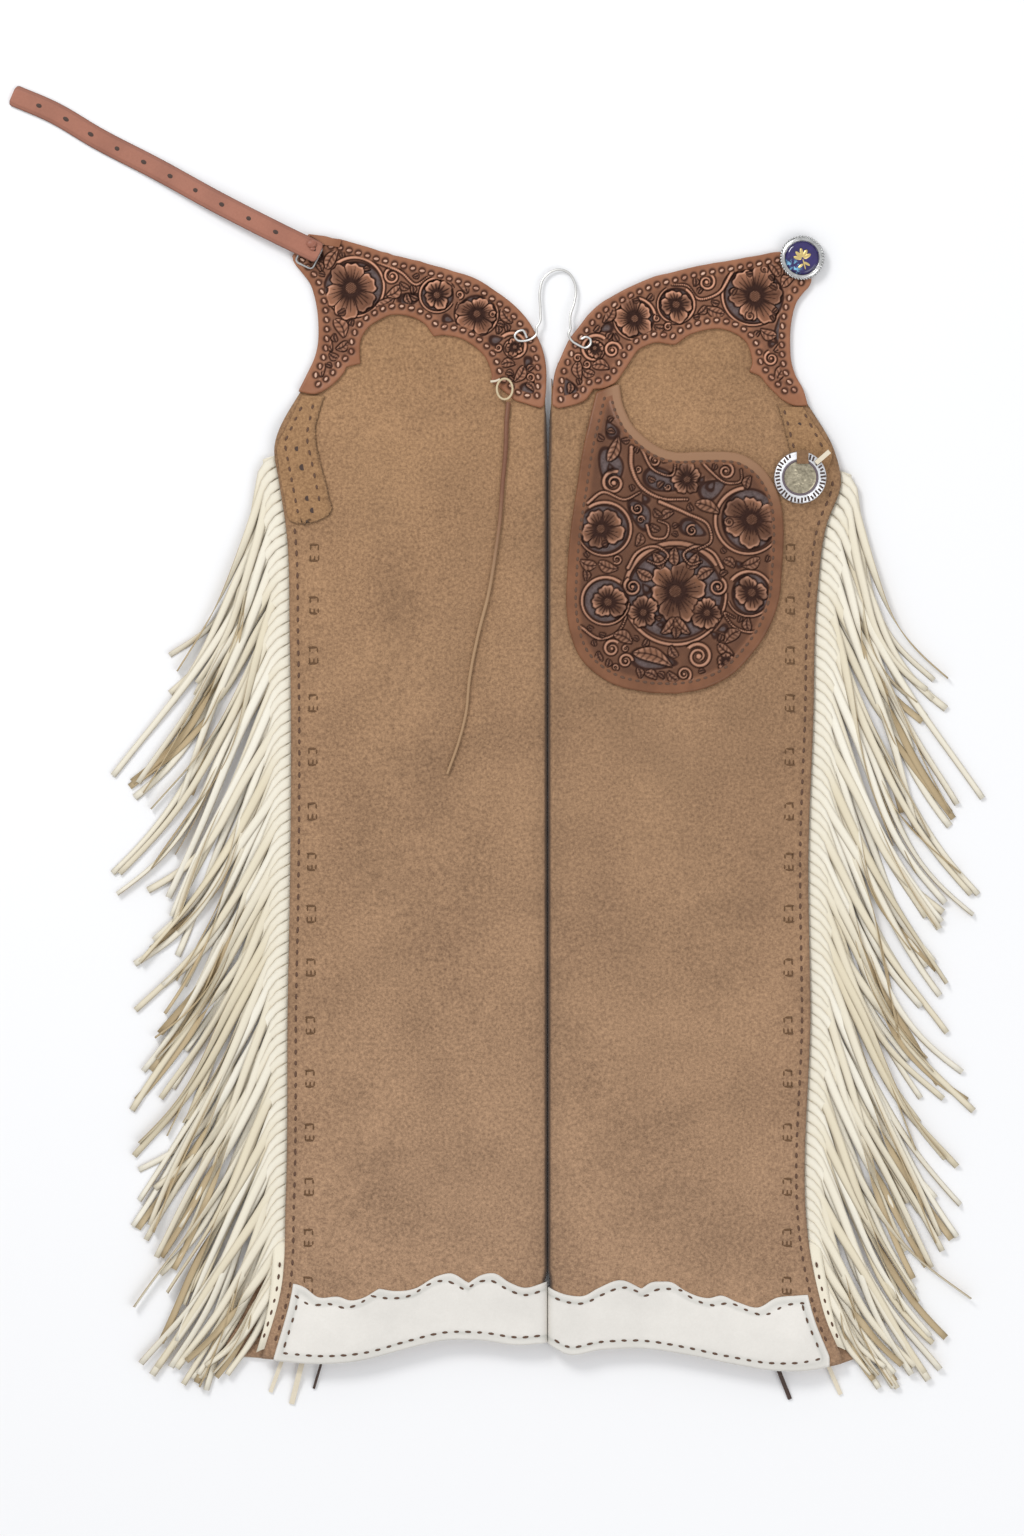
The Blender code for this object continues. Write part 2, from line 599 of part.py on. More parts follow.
def make_fringe(leg, fringe):
    """A strip of four thin rows, with each strand drawn out of one face of its outer side."""
    bm = bmesh.new()
    rings = []
    for k in range(FRINGE_COLUMNS + 1):
        y = fringe.top + (fringe.foot - fringe.top) * k / FRINGE_COLUMNS
        proud = leg.outer(y) - leg.toward * STRIP_PROUD
        inside = leg.outer(y) + leg.toward * STRIP_INSIDE
        floor = STRIP_FLOOR + leg.rise(y)
        ring = [Vector((proud, y, floor + r * FRINGE_ROW)) for r in range(FRINGE_ROWS + 1)]
        ring.append(Vector((inside, y, floor + FRINGE_ROWS * FRINGE_ROW)))
        ring.append(Vector((inside, y, floor)))
        rings.append([bm.verts.new(spot * MM) for spot in ring])
    count = len(rings[0])
    roots = {}
    for k in range(FRINGE_COLUMNS):
        for r in range(count):
            s = (r + 1) % count
            face = bm.faces.new((rings[k][r], rings[k + 1][r], rings[k + 1][s], rings[k][s]))
            roots[k, r] = face
    bm.faces.new(rings[0])
    bm.faces.new(rings[-1])
    for column in range(FRINGE_COLUMNS):
        draw_strand(bm, leg, fringe, column, 1 + column % 3, roots)
        if column % 3 == 2:
            draw_strand(bm, leg, fringe, column, 0, roots)
    add_bmesh("fringe_" + leg.name, bm, "fringe")


def draw_strand(bm, leg, fringe, column, row, roots):
    face = roots[column, row]
    root_z = face.calc_center_median().z / MM
    for middle, across, wide in strand_sections(leg, fringe, column, row, root_z):
        face = bmesh.ops.extrude_discrete_faces(bm, faces=[face])["faces"][0]
        corners = sorted(face.verts, key=lambda corner: corner.co.y)
        for lead, side in ((-1, corners[:2]), (1, corners[2:])):
            turn = lead * (1 if across.y > 0 else -1)
            for lift, corner in zip((-1, 1), sorted(side, key=lambda corner: corner.co.z)):
                place = middle + across * (turn * wide / 2) + Vector((0, 0, lift * STRAND_THICK / 2))
                corner.co = place * MM


def make_strap():
    """The waist strap runs out from the left yoke's corner, raised there and down to the surface."""
    line = through_spots(STRAP_LINE, STRAP_STEPS + 1)
    upper, lower = [], []
    for k, (x, y) in enumerate(line):
        before, after = line[max(0, k - 1)], line[min(STRAP_STEPS, k + 1)]
        way = Vector((after[0] - before[0], after[1] - before[1], 0)).normalized()
        across = Vector((-way.y, way.x, 0)) * STRAP_WIDTH / 2
        z = STRAP_END_HEIGHT * smooth((k / STRAP_STEPS - 0.3) / 0.62)
        middle = Vector((x, y, z))
        edges = (middle - across, middle + across)
        lower.append([tuple(edge) for edge in edges])
        upper.append([tuple(edge + Vector((0, 0, STRAP_THICK))) for edge in edges])
    strap = add_wall("waist_strap", upper, lower, "strap", rounded=False)
    punch = add_punch()
    cut = strap.modifiers.new("Holes", "BOOLEAN")
    cut.operation = "DIFFERENCE"
    cut.solver = "EXACT"
    cut.object = punch


def strap_spot(distance):
    """A spot on the strap's middle line and the line's direction there."""
    line = through_spots(STRAP_LINE, 200)
    gone = 0.0
    for before, after in zip(line, line[1:]):
        step = Vector(after) - Vector(before)
        if gone + step.length >= distance:
            return Vector(before) + step * ((distance - gone) / step.length), step.normalized()
        gone += step.length
    return Vector(line[-1]), step.normalized()


def add_punch():
    bm = bmesh.new()
    for k in range(HOLE_COUNT):
        spot, way = strap_spot(FIRST_HOLE + k * HOLE_PITCH)
        turn = Matrix.Rotation(math.atan2(way.y, way.x), 4, "Z")
        place = Matrix.Translation(Vector((spot.x, spot.y, 6)) * MM)
        shape = Matrix.Diagonal((HOLE_LENGTH * MM, HOLE_WIDTH * MM, 30 * MM, 1))
        bmesh.ops.create_cone(bm, cap_ends=True, segments=10, radius1=0.5, radius2=0.5, depth=1,
                              matrix=place @ turn @ shape)
    mesh = bpy.data.meshes.new("hole_punch")
    bm.to_mesh(mesh)
    bm.free()
    punch = bpy.data.objects.new("hole_punch", mesh)
    punch.hide_render = True
    punch.display_type = "WIRE"
    bpy.context.scene.collection.objects.link(punch)
    return punch


def make_tube(name, places, across, finish, closed=False, resolution=1):
    curve = bpy.data.curves.new(name, "CURVE")
    curve.dimensions = "3D"
    curve.bevel_depth = across / 2 * MM
    curve.bevel_resolution = resolution
    curve.use_fill_caps = not closed
    spline = curve.splines.new("POLY")
    spline.points.add(len(places) - 1)
    for point, place in zip(spline.points, places):
        point.co = (place[0] * MM, place[1] * MM, place[2] * MM, 1)
    spline.use_cyclic_u = closed
    return add_object(name, curve, finish)


def make_lace():
    line = through_spots(LACE_ROUTE, LACE_POINTS)
    lift = LACE / 2 + LACE_CLEAR
    places = [(x, y, LEFT.height(x, y) + lift) for x, y in line]
    make_tube("front_lace", places, LACE, "lace", resolution=2)


def make_lace_ring():
    """The thong ring lies on the left yoke's lower end."""
    count = 20
    places = []
    for k in range(count):
        angle = 2 * math.pi * k / count
        x = RING_CENTRE.x + RING_SIZE.x / 2 * math.cos(angle)
        y = RING_CENTRE.y + RING_SIZE.y / 2 * math.sin(angle)
        places.append((x, y, 0))
    tops = [LEFT.height(x, y) for x, y, _ in places]
    z = max(tops) + LAY_GAP + TOOLED + SEAM_GAP + RING_LACE / 2
    make_tube("lace_ring", [(x, y, z) for x, y, _ in places], RING_LACE, "pale", closed=True)


def make_strap_ring():
    """A rounded rectangular ring of wire between the yoke's corner and the strap's end."""
    across = Vector((-STRAP_RING_WAY.y, STRAP_RING_WAY.x, 0))
    rise = Vector((0, 0, YOKE_TOP + RING_WIRE / 2 + LINK_CLEAR))
    places = []
    for k in range(4):
        sign_x = 1 if k in (0, 3) else -1
        sign_y = 1 if k in (0, 1) else -1
        for step in range(CORNER_STEPS):
            angle = math.pi / 2 * (k + step / (CORNER_STEPS - 1))
            out_x = sign_x * (STRAP_RING_LENGTH / 2 - STRAP_RING_CORNER) + STRAP_RING_CORNER * math.cos(angle)
            out_y = sign_y * (STRAP_RING_WIDTH / 2 - STRAP_RING_CORNER) + STRAP_RING_CORNER * math.sin(angle)
            places.append(tuple(STRAP_RING_CENTRE + STRAP_RING_WAY * out_x + across * out_y + rise))
    make_tube("strap_ring", places, RING_WIRE, "silver", closed=True)


def make_plate(name, corners, floor, thick, finish):
    """A flat plate with the given corners."""
    bm = bmesh.new()
    base = bm.faces.new([bm.verts.new(Vector((x, y, floor)) * MM) for x, y in corners])
    raised = bmesh.ops.extrude_face_region(bm, geom=[base])["geom"]
    tops = [item for item in raised if isinstance(item, bmesh.types.BMVert)]
    bmesh.ops.translate(bm, verts=tops, vec=(0, 0, thick * MM))
    return add_bmesh(name, bm, finish)


def make_turned(name, centre, floor, profile, finish, segments=24):
    """A closed ring or disc turned about a vertical axis. Profile is radius and height."""
    bm = bmesh.new()
    points = [bm.verts.new(Vector((centre.x + r, centre.y, floor + h)) * MM) for r, h in profile]
    edges = [bm.edges.new(pair) for pair in zip(points, points[1:] + points[:1])]
    if profile[0][0] == 0:
        bm.edges.remove(edges[-1])
        edges.pop()
    bmesh.ops.spin(bm, geom=points + edges, cent=Vector((centre.x, centre.y, 0)) * MM, axis=(0, 0, 1),
                   angle=2 * math.pi, steps=segments, use_merge=True)
    bmesh.ops.remove_doubles(bm, verts=bm.verts, dist=1e-6)
    return add_bmesh(name, bm, finish, rounded=True)


def make_enamel_concho():
    rim, disc = ENAMEL_ACROSS / 2, ENAMEL_DISC / 2
    inner = disc + TURNED_GAP
    make_turned("concho_rim", ENAMEL_CENTRE, YOKE_TOP,
                ((rim, 0), (rim, 1.8), (rim - 1.6, 3.2), (inner + 1.1, 3.2), (inner, 2.2), (inner, 0)),
                "silver")
    make_turned("concho_enamel", ENAMEL_CENTRE, YOKE_TOP,
                ((0, 0), (disc, 0), (disc, 1.8), (disc * 0.6, 2.6), (0, 2.9)), "enamel")


def make_slotted_concho():
    rim, coin = SLOTTED_ACROSS / 2, COIN_ACROSS / 2
    inner = coin + TURNED_GAP
    make_turned("slotted_ring", SLOTTED_CENTRE, SLOTTED_FLOOR,
                ((rim, 0), (rim, CONCHO_TOP / 2), (rim - 2.5, CONCHO_TOP), (inner + 2.3, CONCHO_TOP),
                 (inner, 1.4), (inner, 0)), "silver")
    make_turned("slotted_coin", SLOTTED_CENTRE, SLOTTED_FLOOR,
                ((0, 0), (coin, 0), (coin, 1.6), (coin - 1.6, 2.2), (0, 2.2)), "pewter")
    floor = SLOTTED_FLOOR + CONCHO_TOP + SEAM_GAP
    make_plate("concho_strip", CONCHO_STRIP, floor, CONCHO_STRIP_THICK, "lace")
    make_plate("concho_lace_end", LACE_END, floor, LACE_END_THICK, "pale")


def make_hem_tie(number, tie):
    """A thong end that lies on the back inside the hem and runs out past it to the surface."""
    start, end = Vector((tie.x, tie.y, 0)), Vector((tie.end_x, tie.end_y, 0))
    way = (end - start).normalized()
    across = Vector((-way.y, way.x, 0)) * tie.wide / 2
    inside = CUFF_RISE + SUEDE + SEAM_GAP
    upper, lower = [], []
    for share, z in ((0, inside), (0.45, inside), (0.75, 1.6), (1, STRAND_CLEAR)):
        middle = start + (end - start) * share + Vector((0, 0, z))
        edges = (middle - across, middle + across)
        lower.append([tuple(edge) for edge in edges])
        upper.append([tuple(edge + Vector((0, 0, TIE_THICK))) for edge in edges])
    add_wall(f"hem_thong_{number}", upper, lower, tie.material, rounded=False)


def make_corner_pieces():
    """The stitched corner tab on the left yoke, and the small loop on the strap's end."""
    make_plate("corner_tab", CORNER_TAB, YOKE_TOP, CORNER_TAB_THICK, "tab")
    make_plate("strap_keeper", KEEPER, STRAP_END_HEIGHT + STRAP_THICK + SEAM_GAP, KEEPER_THICK, "lace")


def make_all():
    clear_scene()
    for leg in (LEFT, RIGHT):
        make_leg(leg)
        make_cuff(leg)
    make_band("yoke_left", LEFT, LEFT_YOKE, YOKE_STEPS, TOOLED, LAY_GAP)
    make_band("yoke_right", RIGHT, RIGHT_YOKE, YOKE_STEPS, TOOLED, LAY_GAP)
    make_band("pocket", RIGHT, POCKET, POCKET_STEPS, TOOLED, POCKET_GAP, POCKET_BULGE)
    make_tab(LEFT, LEFT_TAB)
    make_tab(RIGHT, RIGHT_TAB)
    make_fringe(LEFT, LEFT_FRINGE)
    make_fringe(RIGHT, RIGHT_FRINGE)
    make_strap()
    make_strap_ring()
    make_corner_pieces()
    make_tube("wire_hook", through_spots(WIRE_ROUTE, 64), WIRE, "silver")
    make_enamel_concho()
    make_slotted_concho()
    make_lace()
    make_lace_ring()
    for number, tie in enumerate(HEM_TIES, 1):
        make_hem_tie(number, tie)


make_all()
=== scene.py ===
"""The look of the leather chaps: fine forms, finishes, light and camera for the flat lay in the photograph.

Tables are in millimetres: x to the right, y towards the waist, z up from the surface that they lie on.
Left and right are as seen from above, with the waist away from the viewer.
"""

import math
from collections import namedtuple

import bmesh
import bpy
import numpy as np
from mathutils import Matrix, Vector

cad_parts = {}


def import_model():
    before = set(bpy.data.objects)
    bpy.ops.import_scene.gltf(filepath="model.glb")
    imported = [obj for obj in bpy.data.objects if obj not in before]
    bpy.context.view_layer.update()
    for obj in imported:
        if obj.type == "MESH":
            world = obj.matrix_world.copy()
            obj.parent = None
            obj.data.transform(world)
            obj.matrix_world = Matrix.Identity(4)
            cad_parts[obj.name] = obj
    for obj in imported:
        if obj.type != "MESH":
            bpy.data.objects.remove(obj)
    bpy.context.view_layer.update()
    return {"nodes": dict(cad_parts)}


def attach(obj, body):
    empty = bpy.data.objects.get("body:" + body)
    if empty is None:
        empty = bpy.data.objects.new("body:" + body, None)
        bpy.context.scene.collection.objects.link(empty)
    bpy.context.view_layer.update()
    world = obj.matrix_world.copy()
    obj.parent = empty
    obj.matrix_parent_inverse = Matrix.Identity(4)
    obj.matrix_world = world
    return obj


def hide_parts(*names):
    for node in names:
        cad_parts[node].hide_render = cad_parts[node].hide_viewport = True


MM = 0.001

# Leather and layers
SUEDE = 2.0
TOOLED = 3.0
CUFF_LEATHER = 1.6
TAB_LEATHER = 1.8
SEAM_GAP = 0.3
LAY_GAP = 0.4

# Heights of a leg's front: at its outer seam, over its body, and where the waist rests on the surface
SEAM_TOP = 8.6
BODY_TOP = 12.5
WAIST_TOP = SUEDE
SEAM_WIDTH = 40.0
DROOP_START = 258.0
DROOP_END = 318.0

# The back steps up by this much over the cuff that is wrapped under it
CUFF_RISE = CUFF_LEATHER + SEAM_GAP
CUFF_STEP_TOP = -425.0
CUFF_STEP_FOOT = -440.0
SEAT_TOP = 258.0
SEAT_DIP = 34.0
YOKE_INSET = 3.0
FOLD_MEET = 0.45
FOLD_STEP = -446.0
FOLD_STEP_LENGTH = 8.0
HEM_INSET = 1.5

Side = namedtuple("Side", "y outer fold")
LEFT_SIDES = (
    Side(415, -182, 31), Side(390, -166, 31), Side(361, -159.5, 31), Side(343, -160, 31),
    Side(314, -169, 31), Side(300, -178, 30.5), Side(253, -200, 31), Side(223, -196, 31.3),
    Side(183, -190, 31.3), Side(89, -187, 31.3), Side(-132, -187, 31.3), Side(-217, -188.7, 31.3),
    Side(-387, -190.5, 31.3), Side(-463, -194.5, 31.3), Side(-521, -211, 31.3),
)
RIGHT_SIDES = (
    Side(411, 250, 35), Side(394, 252, 35), Side(375, 240, 35), Side(359, 236, 35), Side(343, 235, 35),
    Side(326, 236, 35), Side(302, 246, 34.5), Side(248, 276, 33.2), Side(224, 281, 32.5),
    Side(186, 268.5, 32.4), Side(129, 261, 32.4), Side(21, 257.5, 32.4), Side(-89, 253.5, 32.4),
    Side(-217, 255, 32.4), Side(-455, 259.5, 32.4), Side(-487, 268, 32.4), Side(-519, 281.5, 32.4),
)

# The back is this much wider than the front from the flare down to the hem
FLARE_TOP = -300.0
FLARE_WIDTH = 34.0
FLARE_REACH = 60.0
FLARE_STEP = 15.0

Spot = namedtuple("Spot", "x y")
LEFT_HEM = (
    Spot(-211, -521), Spot(-188, -523), Spot(-156, -525), Spot(-122, -522), Spot(-86, -512),
    Spot(-56, -505), Spot(-24, -505), Spot(7, -509), Spot(32, -507),
)
RIGHT_HEM = (
    Spot(32, -507), Spot(46, -516), Spot(76, -513), Spot(114, -512), Spot(146, -517), Spot(184, -525),
    Spot(223, -531), Spot(250, -530), Spot(270, -525), Spot(282, -519),
)

# The cuffs' scalloped tops, one row of spots for each arc between two cusps
LEFT_SCALLOPS = (
    (Spot(-215, -456), Spot(-184, -460), Spot(-171, -468), Spot(-152, -468), Spot(-141, -471),
     Spot(-131, -469), Spot(-117.5, -461)),
    (Spot(-117.5, -461), Spot(-103, -463), Spot(-86, -461), Spot(-66, -450), Spot(-56, -448),
     Spot(-38, -456)),
    (Spot(-38, -456), Spot(-29, -450), Spot(-17, -448), Spot(-1, -456), Spot(10, -460), Spot(32, -455)),
)
RIGHT_SCALLOPS = (
    (Spot(32, -459), Spot(37, -462), Spot(53, -467), Spot(64, -467), Spot(76, -461), Spot(99, -454),
     Spot(115.5, -461)),
    (Spot(115.5, -461), Spot(124, -456), Spot(134, -455), Spot(144, -456), Spot(153, -462),
     Spot(174, -469), Spot(187, -467), Spot(198, -472)),
    (Spot(198, -472), Spot(216, -477), Spot(234, -469), Spot(254, -467), Spot(290, -466)),
)
CUFF_INSET = 10.0

# Soft swells of the front: middle, half width, half length and height
Swell = namedtuple("Swell", "x y wide long high")
LEFT_SWELLS = (
    Swell(-100, -40, 60, 150, 1.2), Swell(-35, -240, 50, 130, 1.1), Swell(-125, -330, 50, 100, -0.8),
    Swell(-40, 120, 60, 110, 0.9),
)
RIGHT_SWELLS = (
    Swell(110, -60, 55, 140, 1.1), Swell(200, -230, 50, 130, 1.0), Swell(90, -330, 50, 100, -0.8),
    Swell(180, 130, 55, 110, 0.7),
)

# Cross sections of the yokes and the pocket, from one end to the other
Section = namedtuple("Section", "top_x top_y low_x low_y")
LEFT_YOKE = (
    Section(-171, 434, -185, 415), Section(-163, 433, -183, 409), Section(-156, 432, -175, 399),
    Section(-149, 430, -169, 390), Section(-142, 429, -165, 376), Section(-135, 427, -163, 361),
    Section(-128, 425, -163, 343), Section(-121, 423, -166, 329), Section(-115, 421, -173, 314),
    Section(-109, 419, -180, 300), Section(-104, 418, -165, 298), Section(-99, 416, -152, 305),
    Section(-94, 415, -142, 315), Section(-90, 414, -139, 321), Section(-86, 413, -127, 324),
    Section(-82, 412, -127.5, 331.5), Section(-77, 411, -127, 343), Section(-71, 409, -121, 354),
    Section(-64, 407, -111, 361), Section(-56, 405, -99.5, 365.5), Section(-47, 402, -85, 364),
    Section(-38, 399.5, -73, 358), Section(-29, 396, -67, 350), Section(-21, 391.5, -65, 347),
    Section(-13, 386, -55, 348), Section(-5, 380.5, -41, 345), Section(3, 374, -29, 337.5),
    Section(10, 367, -21, 329), Section(16, 359.5, -16, 317), Section(21, 351, -15.7, 308.6),
    Section(25, 343, -6, 301), Section(28, 335, 0, 296), Section(30, 326, 5, 292),
    Section(31, 315, 12, 290), Section(30.5, 300, 18, 288), Section(29, 288, 26, 285.8),
)
RIGHT_YOKE = (
    Section(36, 288, 41, 285.5), Section(36, 300, 48, 287), Section(38, 316, 56, 289),
    Section(43, 329, 61, 291), Section(50, 344, 65, 293.5), Section(56, 352, 71, 302),
    Section(61, 358.5, 79, 302.6), Section(66, 365, 85, 305), Section(72, 371, 90.5, 308.6),
    Section(79, 376.6, 97, 318), Section(85, 380, 104, 329), Section(91, 383.5, 108, 334.5),
    Section(98.6, 387.6, 113, 338), Section(106, 391, 123, 341.7), Section(114, 394.5, 131, 341),
    Section(123, 398, 138, 340), Section(129, 399.5, 142, 341), Section(136, 401, 152, 348),
    Section(147.5, 404, 164, 352), Section(158, 406.5, 177, 353.6), Section(166, 408, 190, 350),
    Section(174, 409.5, 200, 342.6), Section(181, 410.5, 204, 334), Section(188, 411.7, 205.7, 324.3),
    Section(194, 412.8, 203, 317), Section(200, 414, 212.5, 313), Section(206, 415, 217.6, 306.4),
    Section(212, 416, 227, 296.7), Section(218, 417.3, 232, 292.4), Section(224, 418.5, 241, 288.2),
    Section(230, 418.8, 253, 288), Section(236, 418, 249, 302), Section(242, 415.5, 243, 313),
    Section(248, 411.5, 239, 326), Section(252, 406, 238, 343), Section(255, 400, 239, 359),
    Section(256, 394, 243, 375), Section(253.5, 388.5, 250, 385),
)
POCKET = (
    Section(73, 299.5, 93, 307), Section(70.5, 289, 95.6, 290), Section(68, 279, 103, 273),
    Section(66, 270, 113, 262), Section(64, 262, 126, 252.5), Section(62, 252, 141, 248),
    Section(60, 241, 160, 248.5), Section(58.5, 231, 183, 248.5), Section(57, 220, 198, 245.7),
    Section(55, 208, 213.4, 235.5), Section(53, 195, 224.4, 220), Section(51, 180, 230.4, 201.5),
    Section(49.5, 163, 232, 177), Section(48.5, 146, 230.4, 148), Section(47.6, 120, 228, 123),
    Section(51, 95, 219.3, 98.6), Section(59.5, 74, 205.7, 77.8), Section(75, 58.7, 187, 58.7),
    Section(93.5, 49.3, 164, 47.6), Section(118, 44.2, 141, 43.4),
)
POCKET_GAP = 0.6
POCKET_BULGE = 2.2
SHARP_TURN = 38.0
TAB_EDGE = 1.5
FIELD_EDGE = 9.8
EDGE_ROUND = 1.2
BEAD_INSET = 7.2
RELIEF = 1.4
UNDER_TURN = math.radians(0.02)
BEAD_PITCH = 8.2
STRAND_POINTS = 27
LOWEST_ROOT = -466.0
STRANDS = 76

# The pressed marks down the seams and the tabs' rows and holes, counted in the photograph's frame
PRESSED_ROWS = (555, 605, 656, 705, 758, 811, 862, 914, 967, 1027, 1080, 1133, 1185, 1237, 1285)
PRESSED_LEFT = 315.0
PRESSED_RIGHT = 790.0
PRESSED_BARS = (7.0, -6.6)
PRESSED_TICKS = ((-3.4, 4.6), (3.2, 4.6), (-3.6, -4.2), (0.0, -4.2), (3.4, -4.2))
TAB_ROWS = (
    ((303, 405), (285, 443), (299, 517)),
    ((314, 402), (307, 436), (308.5, 446), (314, 471), (320.5, 505)),
    ((783, 408), (794, 452)), ((803, 412), (823, 450)),
)
TAB_HOLES = ((303, 468, 5.5), (297.6, 449.5, 4.2), (308, 499, 4.4), (313, 511, 4.6), (799, 425, 3.2))

# Soft creases of the suede: a line from spot to spot, how far it bows, its half width and its height
Crease = namedtuple("Crease", "x y end_x end_y bow wide high")
LEFT_CREASES = (
    Crease(-120, 250, -95, 60, 8, 16, 0.7), Crease(-20, 180, -60, -60, -10, 20, -0.6),
    Crease(-140, -90, -60, -160, 8, 22, 0.8), Crease(-120, -380, -10, -330, -8, 24, 0.7),
)
RIGHT_CREASES = (
    Crease(80, 20, 190, -20, -10, 20, -0.7), Crease(70, -120, 110, -300, 12, 22, 0.8),
    Crease(220, -60, 170, -220, 8, 18, 0.6), Crease(90, -390, 210, -420, 8, 22, -0.6),
)

# The frayed tabs over the hips: an inner edge x for each height
Tab = namedtuple("Tab", "y outer inner")
LEFT_TAB = (
    Tab(296.5, -178, -157), Tab(284, -184, -161), Tab(270, -191, -165), Tab(253, -199, -164),
    Tab(240, -198, -161), Tab(222, -195.5, -156), Tab(208, -192.5, -153), Tab(198, -191, -151.5),
    Tab(191, -189, -160), Tab(187.5, -182, -172),
)
RIGHT_TAB = (
    Tab(287, 250, 227.5), Tab(275, 258, 231), Tab(262, 266.5, 234), Tab(248, 275, 237.5),
    Tab(236, 272, 240), Tab(224, 266, 243), Tab(214, 258, 247),
)
# The fringe: a strip sewn between front and back, whose outer face is cut into strands
STRIP_INSIDE = 12.0
STRIP_FLOOR = SUEDE + SEAM_GAP
STRAND_LENGTH = 250.0
STRAND_ROOT = 8.2
STRAND_TIP = 5.2
STRAND_THICK = 0.8
STRAND_CLEAR = 0.6
TRIM_LINE = -528.0
# The strip's lines across: how far in from the seam, how much lower, and their share of its lift
BAND_LINES = (
    (STRIP_INSIDE, 0.0, 0.0), (2.0, 0.0, 0.6), (-3.0, 0.0, 1.0), (-7.0, 0.1, 1.0), (-10.0, 0.5, 1.0),
)
Fringe = namedtuple("Fringe", "top foot start fall sway")
LEFT_FRINGE = Fringe(top=246, foot=-512, start=24, fall=65, sway=5.0)
RIGHT_FRINGE = Fringe(top=233, foot=-510, start=26, fall=68, sway=5.0)

# The waist strap
STRAP_WIDTH = 18.4
STRAP_THICK = 3.0
STRAP_END_HEIGHT = 8.4
HOLE_COUNT = 10
HOLE_PITCH = 25.4
FIRST_HOLE = 24.0
HOLE_LENGTH = 4.6
HOLE_WIDTH = 3.3
STRAP_CORNER = 3.5
KEEPER_CENTRE = (-168.3, 425.0)
STRAP_LINE = (
    Spot(-423, 552.5), Spot(-388, 537.5), Spot(-350.5, 515.5), Spot(-299.5, 489), Spot(-249, 461),
    Spot(-198.5, 435), Spot(-161.5, 417),
)

# Hardware
WIRE = 2.1
ENAMEL_CENTRE = Spot(248, 413.5)
ENAMEL_ACROSS = 38.0
ENAMEL_DISC = 28.4
YOKE_TOP = WAIST_TOP + LAY_GAP + TOOLED + SEAM_GAP
ROPE_BEADS = 46
NOTCHES = 36
SLOTTED_CENTRE = Spot(246, 226.7)
SLOTTED_ACROSS = 44.5
COIN_ACROSS = 29.0
SLOTTED_FLOOR = 15.4

Place = namedtuple("Place", "x y z")
WIRE_ROUTE = (
    Place(14.5, 345.5, 6.9), Place(10.5, 352, 7.2), Place(6, 350.5, 7.2), Place(4, 347.2, 7.2),
    Place(6, 343.8, 7.2), Place(12, 343, 7.2), Place(19.3, 345.5, 7.2), Place(22.5, 349, 7.2),
    Place(22.3, 353.5, 7.0), Place(25.5, 359.5, 6.4), Place(25.8, 369, 5.4), Place(25.5, 386, 4.4),
    Place(28, 395.5, 3.8), Place(34.8, 402, 3.4), Place(41.8, 403.8, 3.4), Place(49.5, 401.2, 3.4),
    Place(54.5, 393.5, 3.8), Place(56, 386, 4.2), Place(54.5, 375.5, 5.0), Place(51.2, 364.5, 6.0),
    Place(51, 358.5, 6.6), Place(51.2, 353, 7.0), Place(49.8, 349, 7.2), Place(52, 343.8, 7.2),
    Place(58.3, 339.3, 7.2), Place(64.3, 337.2, 7.2), Place(68.2, 340.2, 7.2), Place(68, 344.6, 7.2),
    Place(64.4, 346.4, 7.2), Place(60.6, 344.6, 6.9),
)
LACE = 3.0
LACE_ROUTE = (
    Spot(-1.5, 290.5), Spot(-3, 273), Spot(-3.4, 256), Spot(-6.4, 220), Spot(-8.8, 188.5), Spot(-12, 165),
    Spot(-18, 129), Spot(-27, 93.5), Spot(-34.8, 52.5), Spot(-37, 29), Spot(-44, 1), Spot(-53.2, -24.5),
)

CAMERA_MIDDLE = Spot(1.7, -19.6)
CAMERA_HEIGHT = 6000.0
FRAME_HEIGHT = 1305.6
SENSOR = 36.0


def smooth(value):
    """An S curve from 0 to 1."""
    t = np.clip(value, 0.0, 1.0)
    return t * t * (3 - 2 * t)


def uneven(index, salt):
    """A steady, uneven number from -1 to 1 for a counted piece."""
    return 2 * ((math.sin(index * 12.9898 + salt * 78.233) * 43758.5453) % 1.0) - 1


def soft_noise(x, y, scale, salt):
    """A soft, uneven field from about -1 to 1 over the page, with features of about the given size."""
    total = 0.0
    for k in range(6):
        turn = 2 * math.pi * uneven(k, salt)
        reach = scale * (1.0 + 0.45 * uneven(k, salt + 1))
        along = (x * math.cos(turn) + y * math.sin(turn)) / reach
        total = total + np.sin(2 * math.pi * along + 6 * uneven(k, salt + 2))
    return total / 3.2


def curve_through(places, values):
    """A smooth function through a table's values, with its places in rising order."""
    places = np.array(places, float)
    values = np.array(values, float)
    slopes = np.gradient(values, places)

    def value_at(place):
        k = np.clip(np.searchsorted(places, place) - 1, 0, len(places) - 2)
        span = places[k + 1] - places[k]
        t = np.clip((place - places[k]) / span, 0.0, 1.0)
        rise = smooth(t)
        start = t * (1 - t) ** 2 * span * slopes[k]
        end = t * t * (t - 1) * span * slopes[k + 1]
        return values[k] * (1 - rise) + values[k + 1] * rise + start + end

    return value_at


def arcs_through(arcs):
    """A function of x through several arcs that meet at cusps."""
    curves = [curve_through([s.x for s in arc], [s.y for s in arc]) for arc in arcs]
    ends = np.array([arc[-1].x for arc in arcs])

    def value_at(x):
        k = np.minimum(np.searchsorted(ends, x), len(ends) - 1)
        return np.choose(k, [curve(x) for curve in curves])

    return value_at


